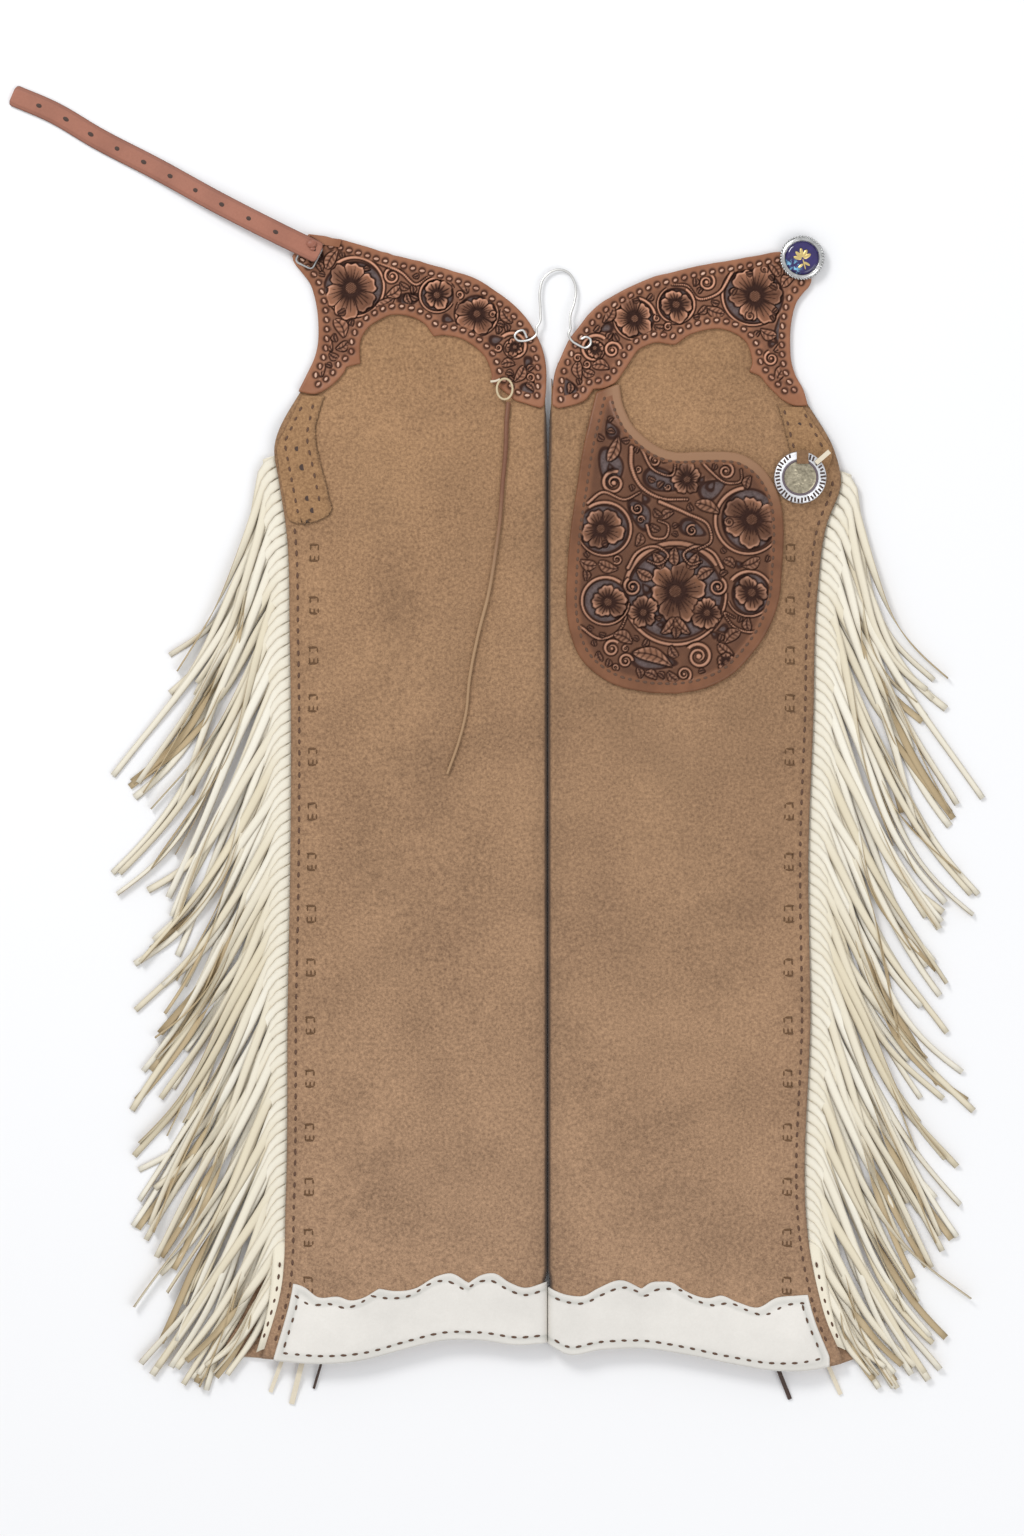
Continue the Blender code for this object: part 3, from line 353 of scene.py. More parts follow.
def through_spots(spots, count):
    """Evenly counted points on a smooth line through the spots."""
    spots = np.array(spots, float)
    steps = np.linalg.norm(np.diff(spots, axis=0), axis=1)
    along = np.concatenate([[0.0], np.cumsum(steps)])
    places = np.linspace(0, along[-1], count)
    return np.stack([curve_through(along, spots[:, k])(places) for k in range(spots.shape[1])], axis=1)


class Leg:
    """One leg: its edges, its hem and the heights of its front."""

    def __init__(self, name, sides, hem, scallops, swells, creases, yoke):
        rows = sorted(sides, key=lambda side: side.y)
        self.name = name
        self.outer = curve_through([r.y for r in rows], [r.outer for r in rows])
        self.fold_line = curve_through([r.y for r in rows], [r.fold for r in rows])
        self.hem = curve_through([s.x for s in hem], [s.y for s in hem])
        self.scallop = arcs_through(scallops)
        self.swells = swells
        self.creases = creases
        self.toward = 1 if rows[0].fold > rows[0].outer else -1
        self.meet = FOLD_MEET * self.toward
        tops = sorted((section.top_x, section.top_y) for section in yoke)
        spots = [tops[0]] + [b for a, b in zip(tops, tops[1:]) if b[0] - a[0] > 0.6]
        self.top = curve_through([x for x, _ in spots], [y for _, y in spots])

    def rise(self, y):
        """How far the back stands off the surface: over the wrapped cuff only."""
        return CUFF_RISE * np.clip((CUFF_STEP_TOP - y) / (CUFF_STEP_TOP - CUFF_STEP_FOOT), 0.0, 1.0)

    def fold(self, y):
        """The inner fold's edge, drawn in under the cuff so that the two cuffs don't meet."""
        drawn_in = CUFF_RISE * np.clip((FOLD_STEP - y) / FOLD_STEP_LENGTH, 0.0, 1.0)
        return self.fold_line(y) + self.meet - self.toward * drawn_in

    def droop(self, y):
        return smooth((y - DROOP_START) / (DROOP_END - DROOP_START))

    def radius(self, y):
        droop = self.droop(y)
        return ((BODY_TOP + self.rise(y)) * (1 - droop) + WAIST_TOP * droop - self.rise(y)) / 2

    def width(self, y):
        """The front's width from its seam to where the fold begins to turn."""
        return np.abs(self.fold(y) - self.outer(y)) - self.radius(y)

    def x_at(self, part, y):
        return self.outer(y) + self.toward * part * self.width(y)

    def front(self, part, y):
        """The height of the front's outer surface at a part of its width, creases and all."""
        width = self.width(y)
        inward = part * width
        x = self.x_at(part, y)
        body = SEAM_TOP + (BODY_TOP - SEAM_TOP) * smooth(inward / SEAM_WIDTH) + self.rise(y)
        edges = smooth(inward / SEAM_WIDTH) * smooth((width - inward) / SEAM_WIDTH)
        for swell in self.swells:
            across = (x - swell.x) / swell.wide
            along = (y - swell.y) / swell.long
            body = body + swell.high * edges * np.exp(-0.5 * (across * across + along * along))
        for crease in self.creases:
            body = body + edges * crease.high * crease_share(x, y, crease)
        droop = self.droop(y)
        return body * (1 - droop) + WAIST_TOP * droop

    def height(self, x, y):
        """The height of the front at a spot on the page, which what lies on it is made from."""
        part = np.clip((x - self.outer(y)) * self.toward / self.width(y), 0.0, 1.0)
        return self.front(part, y)

    def back_edge(self, y):
        """The back's outer edge, which flares past the front's near the hem."""
        flare = FLARE_WIDTH * smooth((FLARE_TOP - y) / (FLARE_TOP - TRIM_LINE))
        return self.outer(y) - self.toward * flare

    def wall(self, place, y, out=0.0):
        """Points of the wall's outer surface: place 0 to 1 is the front, to 2 the fold, to 3 the back."""
        rise = self.rise(y)
        radius = self.radius(y)
        middle = self.fold(y) - self.toward * radius
        angle = math.pi * (1.5 - np.clip(place, 1, 2))
        turned = radius + out
        front = np.clip(place, 0, 1)
        back = np.clip(place - 2, 0, 1)
        x = np.select([place <= 1, place <= 2],
                      [self.x_at(front, y), middle + self.toward * turned * np.cos(angle)],
                      middle + (self.back_edge(y) - middle) * back)
        z = np.select([place <= 1, place <= 2],
                      [self.front(front, y) + out, rise + radius + turned * np.sin(angle)], rise - out)
        return np.stack([x, y + 0 * x, z], axis=-1)

    def column_top(self, place):
        """The height on the page at which a column of the wall ends under the yoke or at the seat."""
        if place <= 1:
            y = DROOP_END
            for _ in range(30):
                y = 0.5 * y + 0.5 * (self.top(self.x_at(place, y)) - YOKE_INSET)
            return float(y)
        if place <= 2:
            return float(curve_through((1.0, 1.25, 1.5, 1.75, 2.0), (323, 290, 276, 266, SEAT_TOP))(place))
        return SEAT_TOP - 8 * (place - 2) - SEAT_DIP * math.sin(math.pi * (place - 2))


def crease_share(x, y, crease):
    """A crease's share of its height at a spot: 1 on its line, fading to the sides and past its ends."""
    way = np.array([crease.end_x - crease.x, crease.end_y - crease.y], float)
    length = np.linalg.norm(way)
    way = way / length
    along = (x - crease.x) * way[0] + (y - crease.y) * way[1]
    bow = crease.bow * np.sin(math.pi * along / length)
    across = (x - crease.x) * -way[1] + (y - crease.y) * way[0] - bow
    ends = smooth(along / length * 3 + 0.5) * smooth((length - along) / length * 3 + 0.5)
    return ends * np.exp(-(across / crease.wide) ** 2)


LEFT = Leg("left", LEFT_SIDES, LEFT_HEM, LEFT_SCALLOPS, LEFT_SWELLS, LEFT_CREASES, LEFT_YOKE)
RIGHT = Leg("right", RIGHT_SIDES, RIGHT_HEM, RIGHT_SCALLOPS, RIGHT_SWELLS, RIGHT_CREASES, RIGHT_YOKE)


def add_piece(name, bm, materials, nodes, smooth_faces=True):
    """An object of the chaps from a bmesh in millimetres, which stands for the given solids."""
    mesh = bpy.data.meshes.new(name)
    bm.to_mesh(mesh)
    bm.free()
    return place_piece(name, mesh, materials, nodes, smooth_faces)


def place_piece(name, mesh, materials, nodes, smooth_faces=True):
    spots = np.zeros(len(mesh.vertices) * 3)
    mesh.vertices.foreach_get("co", spots)
    mesh.vertices.foreach_set("co", spots * MM)
    if smooth_faces:
        mesh.shade_smooth()
    for found in materials:
        mesh.materials.append(found)
    return show_piece(name, mesh, nodes)


def show_piece(name, data, nodes):
    """An object that rides on the chaps' one body and stands for the given solids."""
    piece = bpy.data.objects.new(name, data)
    bpy.context.scene.collection.objects.link(piece)
    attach(piece, "root")
    if nodes:
        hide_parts(*nodes)
    return piece


def grid_mesh(name, spots, masks=None):
    """A grid of faces through an array of points, rows by columns, with masks as point attributes.

    The face beside the first column, half way down, looks up.
    """
    rows, columns = spots.shape[:2]
    bm = bmesh.new()
    bmesh.ops.create_grid(bm, x_segments=columns - 1, y_segments=rows - 1, size=1)
    mesh = bpy.data.meshes.new(name)
    bm.to_mesh(mesh)
    bm.free()
    mesh.vertices.foreach_set("co", spots.reshape(-1, 3).ravel())
    mesh.update()
    if mesh.polygons[rows // 2 * (columns - 1) + 2].normal.z < 0:
        mesh.flip_normals()
    for key, values in (masks or {}).items():
        mesh.attributes.new(key, "FLOAT", "POINT").data.foreach_set("value", np.ravel(values))
    return mesh


def thicken(piece, thickness, under=0, rim=0):
    """Gives a grid its thickness, downwards, with finish offsets for its underside and rim."""
    solid = piece.modifiers.new("Thickness", "SOLIDIFY")
    solid.thickness = thickness * MM
    solid.offset = -1
    solid.use_even_offset = True
    solid.material_offset = under
    solid.material_offset_rim = rim
    return solid


def plain_material(name, colour, roughness=0.8, metal=0.0):
    found = bpy.data.materials.new(name)
    found.use_nodes = True
    shader = found.node_tree.nodes["Principled BSDF"]
    shader.inputs["Base Color"].default_value = (*colour, 1.0)
    shader.inputs["Roughness"].default_value = roughness
    shader.inputs["Metallic"].default_value = metal
    return found


def add_node(tree, kind, inputs=None, **settings):
    """A shader node with its settings and inputs, which are sockets to link from or plain values."""
    made = tree.nodes.new(kind)
    for key, value in settings.items():
        setattr(made, key, value)
    for key, value in (inputs or {}).items():
        if isinstance(value, bpy.types.NodeSocket):
            tree.links.new(value, made.inputs[key])
        else:
            made.inputs[key].default_value = value
    return made


def mixed(tree, share, first, second):
    """A colour between two, by a share."""
    made = tree.nodes.new("ShaderNodeMix")
    made.data_type = "RGBA"
    for socket, value in zip((made.inputs[0], made.inputs[6], made.inputs[7]), (share, first, second)):
        if isinstance(value, bpy.types.NodeSocket):
            tree.links.new(value, socket)
        else:
            socket.default_value = value if isinstance(value, float) else (*value, 1.0)[:4]
    return made.outputs[2]


def noise(tree, scale, detail=3.0, rough=0.55):
    """A noise value over the piece, by how many features a metre holds."""
    spots = add_node(tree, "ShaderNodeTexCoord")
    made = add_node(tree, "ShaderNodeTexNoise", {"Vector": spots.outputs["Object"], "Scale": scale,
                                                 "Detail": detail, "Roughness": rough})
    return made.outputs["Fac"]


def spread(tree, value, low, high, to_low=0.0, to_high=1.0):
    """A value stretched from one range to another."""
    made = add_node(tree, "ShaderNodeMapRange", {"Value": value, "From Min": low, "From Max": high,
                                                 "To Min": to_low, "To Max": to_high})
    return made.outputs["Result"]


def position(tree):
    """The place on the piece, as sockets for X and Y."""
    spots = add_node(tree, "ShaderNodeTexCoord").outputs["Object"]
    return add_node(tree, "ShaderNodeSeparateXYZ", {"Vector": spots}).outputs


def times(tree, first, second):
    return add_node(tree, "ShaderNodeMath", {0: first, 1: second}, operation="MULTIPLY").outputs[0]


def attribute(tree, name):
    return add_node(tree, "ShaderNodeAttribute", attribute_name=name).outputs["Fac"]


def new_material(name):
    found = bpy.data.materials.new(name)
    found.use_nodes = True
    return found, found.node_tree, found.node_tree.nodes["Principled BSDF"]


def bump(tree, shader, height, distance):
    made = add_node(tree, "ShaderNodeBump", {"Height": height, "Distance": distance * MM, "Strength": 1.0})
    tree.links.new(made.outputs["Normal"], shader.inputs["Normal"])


def grain_group():
    """The surface that the leathers share: a soft mottle, a fine nap and the height of the nap."""
    group = bpy.data.node_groups.new("leather_grain", "ShaderNodeTree")
    size = group.interface.new_socket("Fineness", in_out="INPUT", socket_type="NodeSocketFloat")
    size.default_value = 1.0
    for name in ("Mottle", "Nap", "Height"):
        group.interface.new_socket(name, in_out="OUTPUT", socket_type="NodeSocketFloat")
    start = group.nodes.new("NodeGroupInput")
    end = group.nodes.new("NodeGroupOutput")
    scale = {}
    for key, features in (("Mottle", 11.0), ("Nap", 380.0), ("Height", 900.0)):
        scale[key] = times(group, start.outputs[0], features)
    group.links.new(spread(group, noise(group, scale["Mottle"], 5.0, 0.6), 0.32, 0.68), end.inputs["Mottle"])
    nap = noise(group, scale["Nap"], 4.0, 0.75)
    group.links.new(spread(group, nap, 0.3, 0.7), end.inputs["Nap"])
    fine = noise(group, scale["Height"], 3.0, 0.6)
    both = add_node(group, "ShaderNodeMath", {0: nap, 1: fine}, operation="ADD").outputs[0]
    group.links.new(both, end.inputs["Height"])
    return group


def grain(tree, group, fineness=1.0):
    made = tree.nodes.new("ShaderNodeGroup")
    made.node_tree = group
    made.inputs["Fineness"].default_value = fineness
    return made.outputs


def leather(name, group, dark, light, rough=0.85, nap=0.55, fineness=1.0, relief=0.25, sheen=0.0, stain_and_shade=None,
            foot=None):
    """A leather between two colours by its mottle and nap.

    It darkens where the stain_and_shade attribute says, which holds real stains and painted shade, or fades
    to its foot colour towards the hem.
    """
    found, tree, shader = new_material(name)
    out = grain(tree, group, fineness)
    low = mixed(tree, out["Mottle"], tuple(c * 0.93 for c in dark), tuple(c * 1.07 for c in dark))
    high = mixed(tree, out["Mottle"], tuple(c * 0.93 for c in light), tuple(c * 1.07 for c in light))
    share = spread(tree, out["Nap"], 0.0, 1.0, 0.5 - nap / 2, 0.5 + nap / 2)
    colour = mixed(tree, share, low, high)
    if stain_and_shade:
        colour = mixed(tree, attribute(tree, "stain_and_shade"), colour, stain_and_shade)
    if foot:
        colour = mixed(tree, spread(tree, position(tree)["Y"], 0.22, 0.12), colour, foot)
    tree.links.new(colour, shader.inputs["Base Color"])
    shader.inputs["Roughness"].default_value = rough
    shader.inputs["Sheen Weight"].default_value = sheen
    shader.inputs["Sheen Roughness"].default_value = 0.5
    bump(tree, shader, out["Height"], relief)
    return found


def suede_leather(group):
    """Roughout suede: warm at the waist, paler at the hem, rubbed dark along its edges, with painted shade in
    its creases and round its inner fold.
    """
    found, tree, shader = new_material("suede")
    out = grain(tree, group)
    place = position(tree)
    down = spread(tree, place["Y"], 0.35, -0.5)
    light = mixed(tree, down, (0.500, 0.285, 0.138), (0.545, 0.336, 0.200))
    dark = mixed(tree, down, (0.135, 0.066, 0.027), (0.150, 0.084, 0.046))
    mottle = spread(tree, out["Mottle"], 0.0, 1.0, -0.12, 0.1)
    share = add_node(tree, "ShaderNodeMath", {0: spread(tree, out["Nap"], 0, 1, 0.14, 0.86), 1: mottle},
                     operation="ADD", use_clamp=True).outputs[0]
    colour = mixed(tree, share, dark, light)
    colour = mixed(tree, spread(tree, place["X"], -0.02, 0.12, 0.0, 0.06), colour, (0.19, 0.10, 0.045))
    # Dark brown by the stain_and_shade attribute: rubbed edges, and painted shade in the creases and round
    # the inner fold.
    colour = mixed(tree, attribute(tree, "stain_and_shade"), colour, (0.05, 0.024, 0.011))
    tree.links.new(colour, shader.inputs["Base Color"])
    shader.inputs["Roughness"].default_value = 0.93
    shader.inputs["Sheen Weight"].default_value = 0.12
    shader.inputs["Sheen Roughness"].default_value = 0.6
    bump(tree, shader, out["Height"], 0.35)
    return found


def tooled_leather(name, group, dark, light, open_edge=None):
    """Carved and burnished leather over an inlay that shows in its openings, with a painted highlight on the
    carving's crests.
    """
    found, tree, shader = new_material(name)
    out = grain(tree, group, 0.8)
    colour = mixed(tree, spread(tree, noise(tree, 45.0), 0.3, 0.7), dark, light)
    # Painted highlight on the carving's crests.
    colour = mixed(tree, attribute(tree, "ridge_highlight"), colour, tuple(c * 1.9 + 0.075 for c in light))
    stain_and_shade = attribute(tree, "stain_and_shade")
    colour = mixed(tree, stain_and_shade, colour, (0.034, 0.011, 0.006))
    inlay = mixed(tree, out["Nap"], (0.06, 0.04, 0.036), (0.16, 0.115, 0.112))
    # The inlay darkens by the same attribute: dark dye at the cuts and painted shade inside the openings'
    # rims.
    inlay = mixed(tree, stain_and_shade, inlay, (0.034, 0.011, 0.006))
    colour = mixed(tree, attribute(tree, "inlay"), colour, inlay)
    if open_edge:
        place = position(tree)
        share = spread(tree, attribute(tree, "room"), 7.8, 6.8)
        for limit in (spread(tree, place["Y"], 0.19, 0.24, 0.0, 0.9), spread(tree, place["X"], 0.078, 0.088)):
            share = times(tree, share, limit)
        colour = mixed(tree, share, colour, open_edge)
    tree.links.new(colour, shader.inputs["Base Color"])
    shader.inputs["Specular IOR Level"].default_value = 0.3
    wear_and_shade = spread(tree, out["Nap"], 0.0, 1.0, 0.34, 0.46)
    rough = add_node(tree, "ShaderNodeMath", {0: wear_and_shade, 1: spread(tree, stain_and_shade, 0.2, 0.8, 0.0, 0.45)},
                     operation="ADD", use_clamp=True).outputs[0]
    tree.links.new(rough, shader.inputs["Roughness"])
    bump(tree, shader, out["Height"], 0.12)
    return found


def fringe_leather(group, name, pale, deep):
    """A fringe leather whose strands differ a little by their tone, with painted shade along their edges."""
    found, tree, shader = new_material(name)
    out = grain(tree, group, 1.6)
    share = spread(tree, attribute(tree, "shade"), -1.0, 1.0)
    colour = mixed(tree, share, deep, pale)
    colour = mixed(tree, spread(tree, out["Nap"], 0.0, 1.0, 0.0, 0.16), colour, deep)
    # Painted shade along the strands' edges, where they lie in each other's shadow, from the stain_and_shade
    # attribute.
    colour = mixed(tree, attribute(tree, "stain_and_shade"), colour, (0.20, 0.145, 0.075))
    tree.links.new(colour, shader.inputs["Base Color"])
    shader.inputs["Roughness"].default_value = 0.75
    bump(tree, shader, out["Height"], 0.12)
    return found


def metal(name, colour, rough, wear):
    """Bright metal with fine scratches and duller patches, and painted shade towards the edges that turn away
    from the view.
    """
    found, tree, shader = new_material(name)
    patches = spread(tree, noise(tree, 260.0, 4.0), 0.35, 0.7)
    face = mixed(tree, patches, colour, tuple(c * wear for c in colour))
    # Painted shade: the colour darkens where the surface turns away from the view.
    side = add_node(tree, "ShaderNodeLayerWeight", {"Blend": 0.35}).outputs["Facing"]
    shown = mixed(tree, spread(tree, side, 0.1, 0.9), face, tuple(c * 0.22 for c in colour))
    tree.links.new(shown, shader.inputs["Base Color"])
    tree.links.new(spread(tree, patches, 0.0, 1.0, rough, rough + 0.2), shader.inputs["Roughness"])
    shader.inputs["Metallic"].default_value = 1.0
    bump(tree, shader, noise(tree, 1500.0, 3.0), 0.05)
    return found


def bead_painted_light():
    """Burnished beads with a painted highlight on top and painted shade round their feet, by how far each
    point faces the view.
    """
    found, tree, shader = new_material("bead_painted_light")
    side = add_node(tree, "ShaderNodeLayerWeight", {"Blend": 0.3}).outputs["Facing"]
    top = mixed(tree, spread(tree, noise(tree, 90.0), 0.35, 0.65), (0.36, 0.165, 0.10), (0.66, 0.43, 0.31))
    # Painted shade: the beads darken towards the edges that turn away from the view, to near black at their
    # feet.
    colour = mixed(tree, spread(tree, side, 0.03, 0.22), top, (0.25, 0.098, 0.055))
    colour = mixed(tree, spread(tree, side, 0.25, 0.6), colour, (0.03, 0.01, 0.006))
    tree.links.new(colour, shader.inputs["Base Color"])
    shader.inputs["Roughness"].default_value = 0.25
    return found


def enamel_glass():
    """Deep violet-blue enamel with pale blue streaks low on the left."""
    found, tree, shader = new_material("enamel")
    spots = add_node(tree, "ShaderNodeTexCoord")
    glint = ((ENAMEL_CENTRE.x - 9) * MM, (ENAMEL_CENTRE.y - 8) * MM, 0.006)
    place = add_node(tree, "ShaderNodeVectorMath", {0: spots.outputs["Object"], 1: glint},
                     operation="DISTANCE")
    near = spread(tree, place.outputs["Value"], 0.010, 0.003)
    streak = spread(tree, noise(tree, 420.0, 4.0), 0.5, 0.62)
    cloud = spread(tree, noise(tree, 150.0), 0.35, 0.65)
    deep = mixed(tree, cloud, (0.012, 0.006, 0.07), (0.024, 0.012, 0.13))
    colour = mixed(tree, times(tree, near, streak), deep, (0.25, 0.62, 0.85))
    tree.links.new(colour, shader.inputs["Base Color"])
    shader.inputs["Roughness"].default_value = 0.12
    shader.inputs["Coat Weight"].default_value = 0.6
    return found


def even_marks(line, pitch, start=0.5):
    """Places at an even pitch along a line of page spots, with the heading at each."""
    line = np.array(line, float)
    steps = np.linalg.norm(np.diff(line, axis=0), axis=1)
    along = np.concatenate([[0.0], np.cumsum(steps)])
    count = max(1, int(along[-1] / pitch))
    places = (np.arange(count) + start) * along[-1] / count
    x, y = np.interp(places, along, line[:, 0]), np.interp(places, along, line[:, 1])
    ahead = np.clip(places + 1, 0, along[-1])
    behind = np.clip(places - 1, 0, along[-1])
    way_x = np.interp(ahead, along, line[:, 0]) - np.interp(behind, along, line[:, 0])
    way_y = np.interp(ahead, along, line[:, 1]) - np.interp(behind, along, line[:, 1])
    return list(zip(x, y, np.arctan2(way_y, way_x)))


def standing(spot, heading, half):
    """The matrix that puts a unit form at a spot, turned to a heading and grown to its half sizes."""
    return Matrix.Translation(spot) @ Matrix.Rotation(heading, 4, "Z") @ Matrix.Diagonal((*half, 1))


def add_marks(name, marks, size, skins, rings=4, segments=8, turn=0.0):
    """Small rounded marks, such as stitches or beads: each has a page spot, a heading and a height."""
    bm = bmesh.new()
    for k, (x, y, heading, z) in enumerate(marks):
        grow = 1 + 0.13 * uneven(k, 71)
        place = standing((x, y, z), heading + turn + 0.09 * uneven(k, 72),
                         (size[0] / 2 * grow, size[1] / 2, size[2] / 2))
        bmesh.ops.create_uvsphere(bm, u_segments=segments, v_segments=rings, radius=1, matrix=place)
    return add_piece(name, bm, skins, None)


def page(px, py):
    """Millimetres on the page from places counted in the photograph's frame."""
    return 0.85 * px - 433.5, 633.25 - 0.85 * py


def on_leg(leg, marks, lift):
    return [(x, y, heading, float(leg.height(x, y)) + lift) for x, y, heading in marks]


def make_stitching(thread, dark, pressed):
    """Dashes along the seams, the cuffs, the fringe strips' lower ends and the tabs, the pressed marks down
    the seams, and the tabs' holes.
    """
    seams, cuffs, marks, ticks = [], [], [], []
    for leg, top in ((LEFT, 186.0), (RIGHT, 226.0)):
        y = np.linspace(top, -508, 300)
        line = np.column_stack([leg.outer(y) + leg.toward * 7.2, y])
        seams += on_leg(leg, even_marks(line, 9.4 if leg is LEFT else 8.8), 0.1)
        near = leg.outer(-490.0) + leg.toward * (CUFF_INSET + 6.5)
        x = np.linspace(near, leg.fold(-490.0) - leg.toward * 2, 160)
        top_row = np.column_stack([x, leg.scallop(x) - 6.2])
        low = leg.outer(-514.0) + leg.toward * (CUFF_INSET + 4.0)
        x = np.linspace(low, leg.fold(-490.0) - leg.toward * 2, 160)
        foot_row = np.column_stack([x, leg.hem(x) + 6.8])
        side = [(near + leg.outer(y) - leg.outer(-490.0), y) for y in np.linspace(-472, -514, 12)]
        for row in (top_row, foot_row, side):
            cuffs += on_leg(leg, even_marks(row, 9.7), CUFF_RISE - 0.2)
        for number, py in enumerate(PRESSED_ROWS):
            px = PRESSED_LEFT if leg is LEFT else PRESSED_RIGHT
            x, y = page(px - 0.45 * number * (1 if leg is LEFT else 0.6), py + 2 * uneven(number, 81))
            marks += on_leg(leg, [(x, y + up, 0.0) for up in PRESSED_BARS], 0.25)
            ticks += on_leg(leg, [(x + aside, y + up, 1.57) for aside, up in PRESSED_TICKS], 0.2)
    add_marks("seam_stitches", seams, (5.0, 2.3, 1.0), [thread])
    add_marks("cuff_stitches", cuffs, (5.1, 2.2, 1.0), [thread])
    add_marks("pressed_marks", marks, (9.0, 1.9, 0.8), [pressed])
    add_marks("pressed_ticks", ticks, (4.2, 1.4, 0.8), [pressed])
    rows = []
    for leg in (LEFT, RIGHT):
        y = np.linspace(-436, -506, 30)
        line = np.column_stack([leg.outer(y) - leg.toward * 3.6, y])
        rows += [(x, y, turn, STRIP_FLOOR + float(leg.rise(y) + band_lift(y)) + 2.4)
                 for x, y, turn in even_marks(line, 9.6)]
    for row in TAB_ROWS:
        spots = [page(*spot) for spot in row]
        leg = LEFT if spots[0][0] < 0 else RIGHT
        rows += on_leg(leg, even_marks(spots, 9.0), LAY_GAP + TAB_LEATHER + 0.1)
    add_marks("tab_stitches", rows, (4.6, 2.2, 0.9), [thread])
    holes = []
    for px, py, across in TAB_HOLES:
        x, y = page(px, py)
        leg = LEFT if x < 0 else RIGHT
        z = float(leg.height(x, y)) + LAY_GAP + TAB_LEATHER
        holes.append((x, y, across, z))
    # Dark discs stand for the tab's punched holes: painted shade where the holes are.
    bm = bmesh.new()
    for x, y, across, z in holes:
        bmesh.ops.create_cone(bm, cap_ends=True, segments=20, radius1=across / 2, radius2=across / 2,
                              depth=0.24, matrix=Matrix.Translation((x, y, z)))
    add_piece("tab_holes", bm, [dark], None, False)


def make_leg(leg, skins):
    """The suede wall: the front, the inner fold and the back, open at the seam, the waist and the hem."""
    places = np.concatenate([np.linspace(0, 1, 80), np.linspace(1, 2, 13)[1:], np.linspace(2, 3, 34)[1:]])
    tops = np.array([leg.column_top(place) for place in places])
    feet = leg.hem(leg.wall(places, np.full(places.shape, -480.0))[:, 0]) + HEM_INSET
    share = np.linspace(0, 1, 200)[:, None]
    y = tops * (1 - share) + feet * share
    spots = leg.wall(places + 0 * y, y)
    inward = np.where(places <= 1, places * leg.width(y), 100.0)
    to_fold = (1 - places) * leg.width(y)
    # Darker along the rubbed seam edge and faintly along the stitch line.
    stain_and_shade = 0.24 * np.exp(-inward / 3.0) + 0.07 * np.exp(-((inward - 7.2) / 3.0) ** 2)
    # Painted shade where the front turns over into the inner fold and down into the gap between the legs, and
    # on the front near the fold.
    fold_shade = (0.14 + 0.8 * smooth((places - 1.13) * 6)) * smooth((2.02 - places) * 4)
    stain_and_shade = stain_and_shade + np.where(places <= 1, 0.14 * np.exp(-to_fold / 9.0), fold_shade)
    shade = 0.05 if leg.toward > 0 else 0.11
    stain_and_shade = stain_and_shade + shade * np.exp(-((spots[..., 1] + 20) / 170) ** 2) * (places <= 1)
    # Painted shade along the creases.
    for crease in leg.creases:
        stain_and_shade = stain_and_shade + 0.08 * crease_share(spots[..., 0], spots[..., 1], crease) * (places <= 1)
    stain_and_shade = stain_and_shade + 0.07 * np.clip(soft_noise(spots[..., 0], spots[..., 1], 90.0, 3), 0, 1)
    mesh = grid_mesh("leg_skin_" + leg.name, spots, {"stain_and_shade": np.clip(stain_and_shade, 0, 1)})
    wall = place_piece(mesh.name, mesh, skins, ["leg_" + leg.name])
    thicken(wall, SUEDE)
    return wall


def make_cuff(leg, skins):
    """The pale cuff follows the leg's wall round its inner fold and under the back."""
    hem_y = -500.0
    start = CUFF_INSET / leg.width(hem_y)
    stop = 3 - CUFF_INSET / abs(leg.back_edge(hem_y) - leg.fold(hem_y))
    places = [np.linspace(start, 1, 150), np.linspace(1, 2, 13)[1:], np.linspace(2, stop, 80)[1:]]
    places = np.concatenate(places)
    x = leg.wall(places, np.full(places.shape, hem_y))[:, 0]
    share = np.linspace(0, 1, 26)[:, None]
    y = leg.scallop(x) * (1 - share) + leg.hem(x) * share
    spots = leg.wall(places + 0 * y, y, CUFF_RISE)
    to_top, to_foot = leg.scallop(x) - y, y - leg.hem(x)
    to_side = np.where(places <= 1, (places - start) * leg.width(hem_y), 50.0) + 0 * y
    edge = np.minimum(np.minimum(to_top, to_foot), to_side)
    seam = np.exp(-((edge - 6.3) / 1.5) ** 2)
    spots[..., 2] -= (0.45 * seam + 0.5 * np.exp(-edge / 0.7)) * (places <= 1)
    # Painted shade along the stitch line and over the band between the raised edge and the stitches.
    groove_shade = 0.36 * seam + 0.24 * smooth((edge - 1.6) / 0.8) * (edge < 6.3)
    mesh = grid_mesh("cuff_skin_" + leg.name, spots, {"stain_and_shade": groove_shade})
    cuff = place_piece(mesh.name, mesh, skins, ["cuff_" + leg.name])
    thicken(cuff, CUFF_LEATHER)
    return cuff


def smooth_edge(spots, places):
    """Points on a line through numbered spots, rounded except where it turns sharply."""
    spots = np.array(spots, float)
    steps = np.diff(spots, axis=0)
    first = np.vstack([steps[:1], steps])
    second = np.vstack([steps, steps[-1:]])
    cosine = (first * second).sum(1) / np.linalg.norm(first, axis=1) / np.linalg.norm(second, axis=1)
    soft = (cosine > math.cos(math.radians(SHARP_TURN)))[:, None]
    mean = (first + second) / 2
    leave = np.where(soft, mean, second)
    arrive = np.where(soft, mean, first)
    k = np.clip(np.floor(places).astype(int), 0, len(spots) - 2)
    t = np.clip(places - k, 0, 1)[:, None]
    rise = smooth(t)
    return (spots[k] * (1 - rise) + spots[k + 1] * rise + t * (1 - t) ** 2 * leave[k]
            + t * t * (t - 1) * arrive[k + 1])


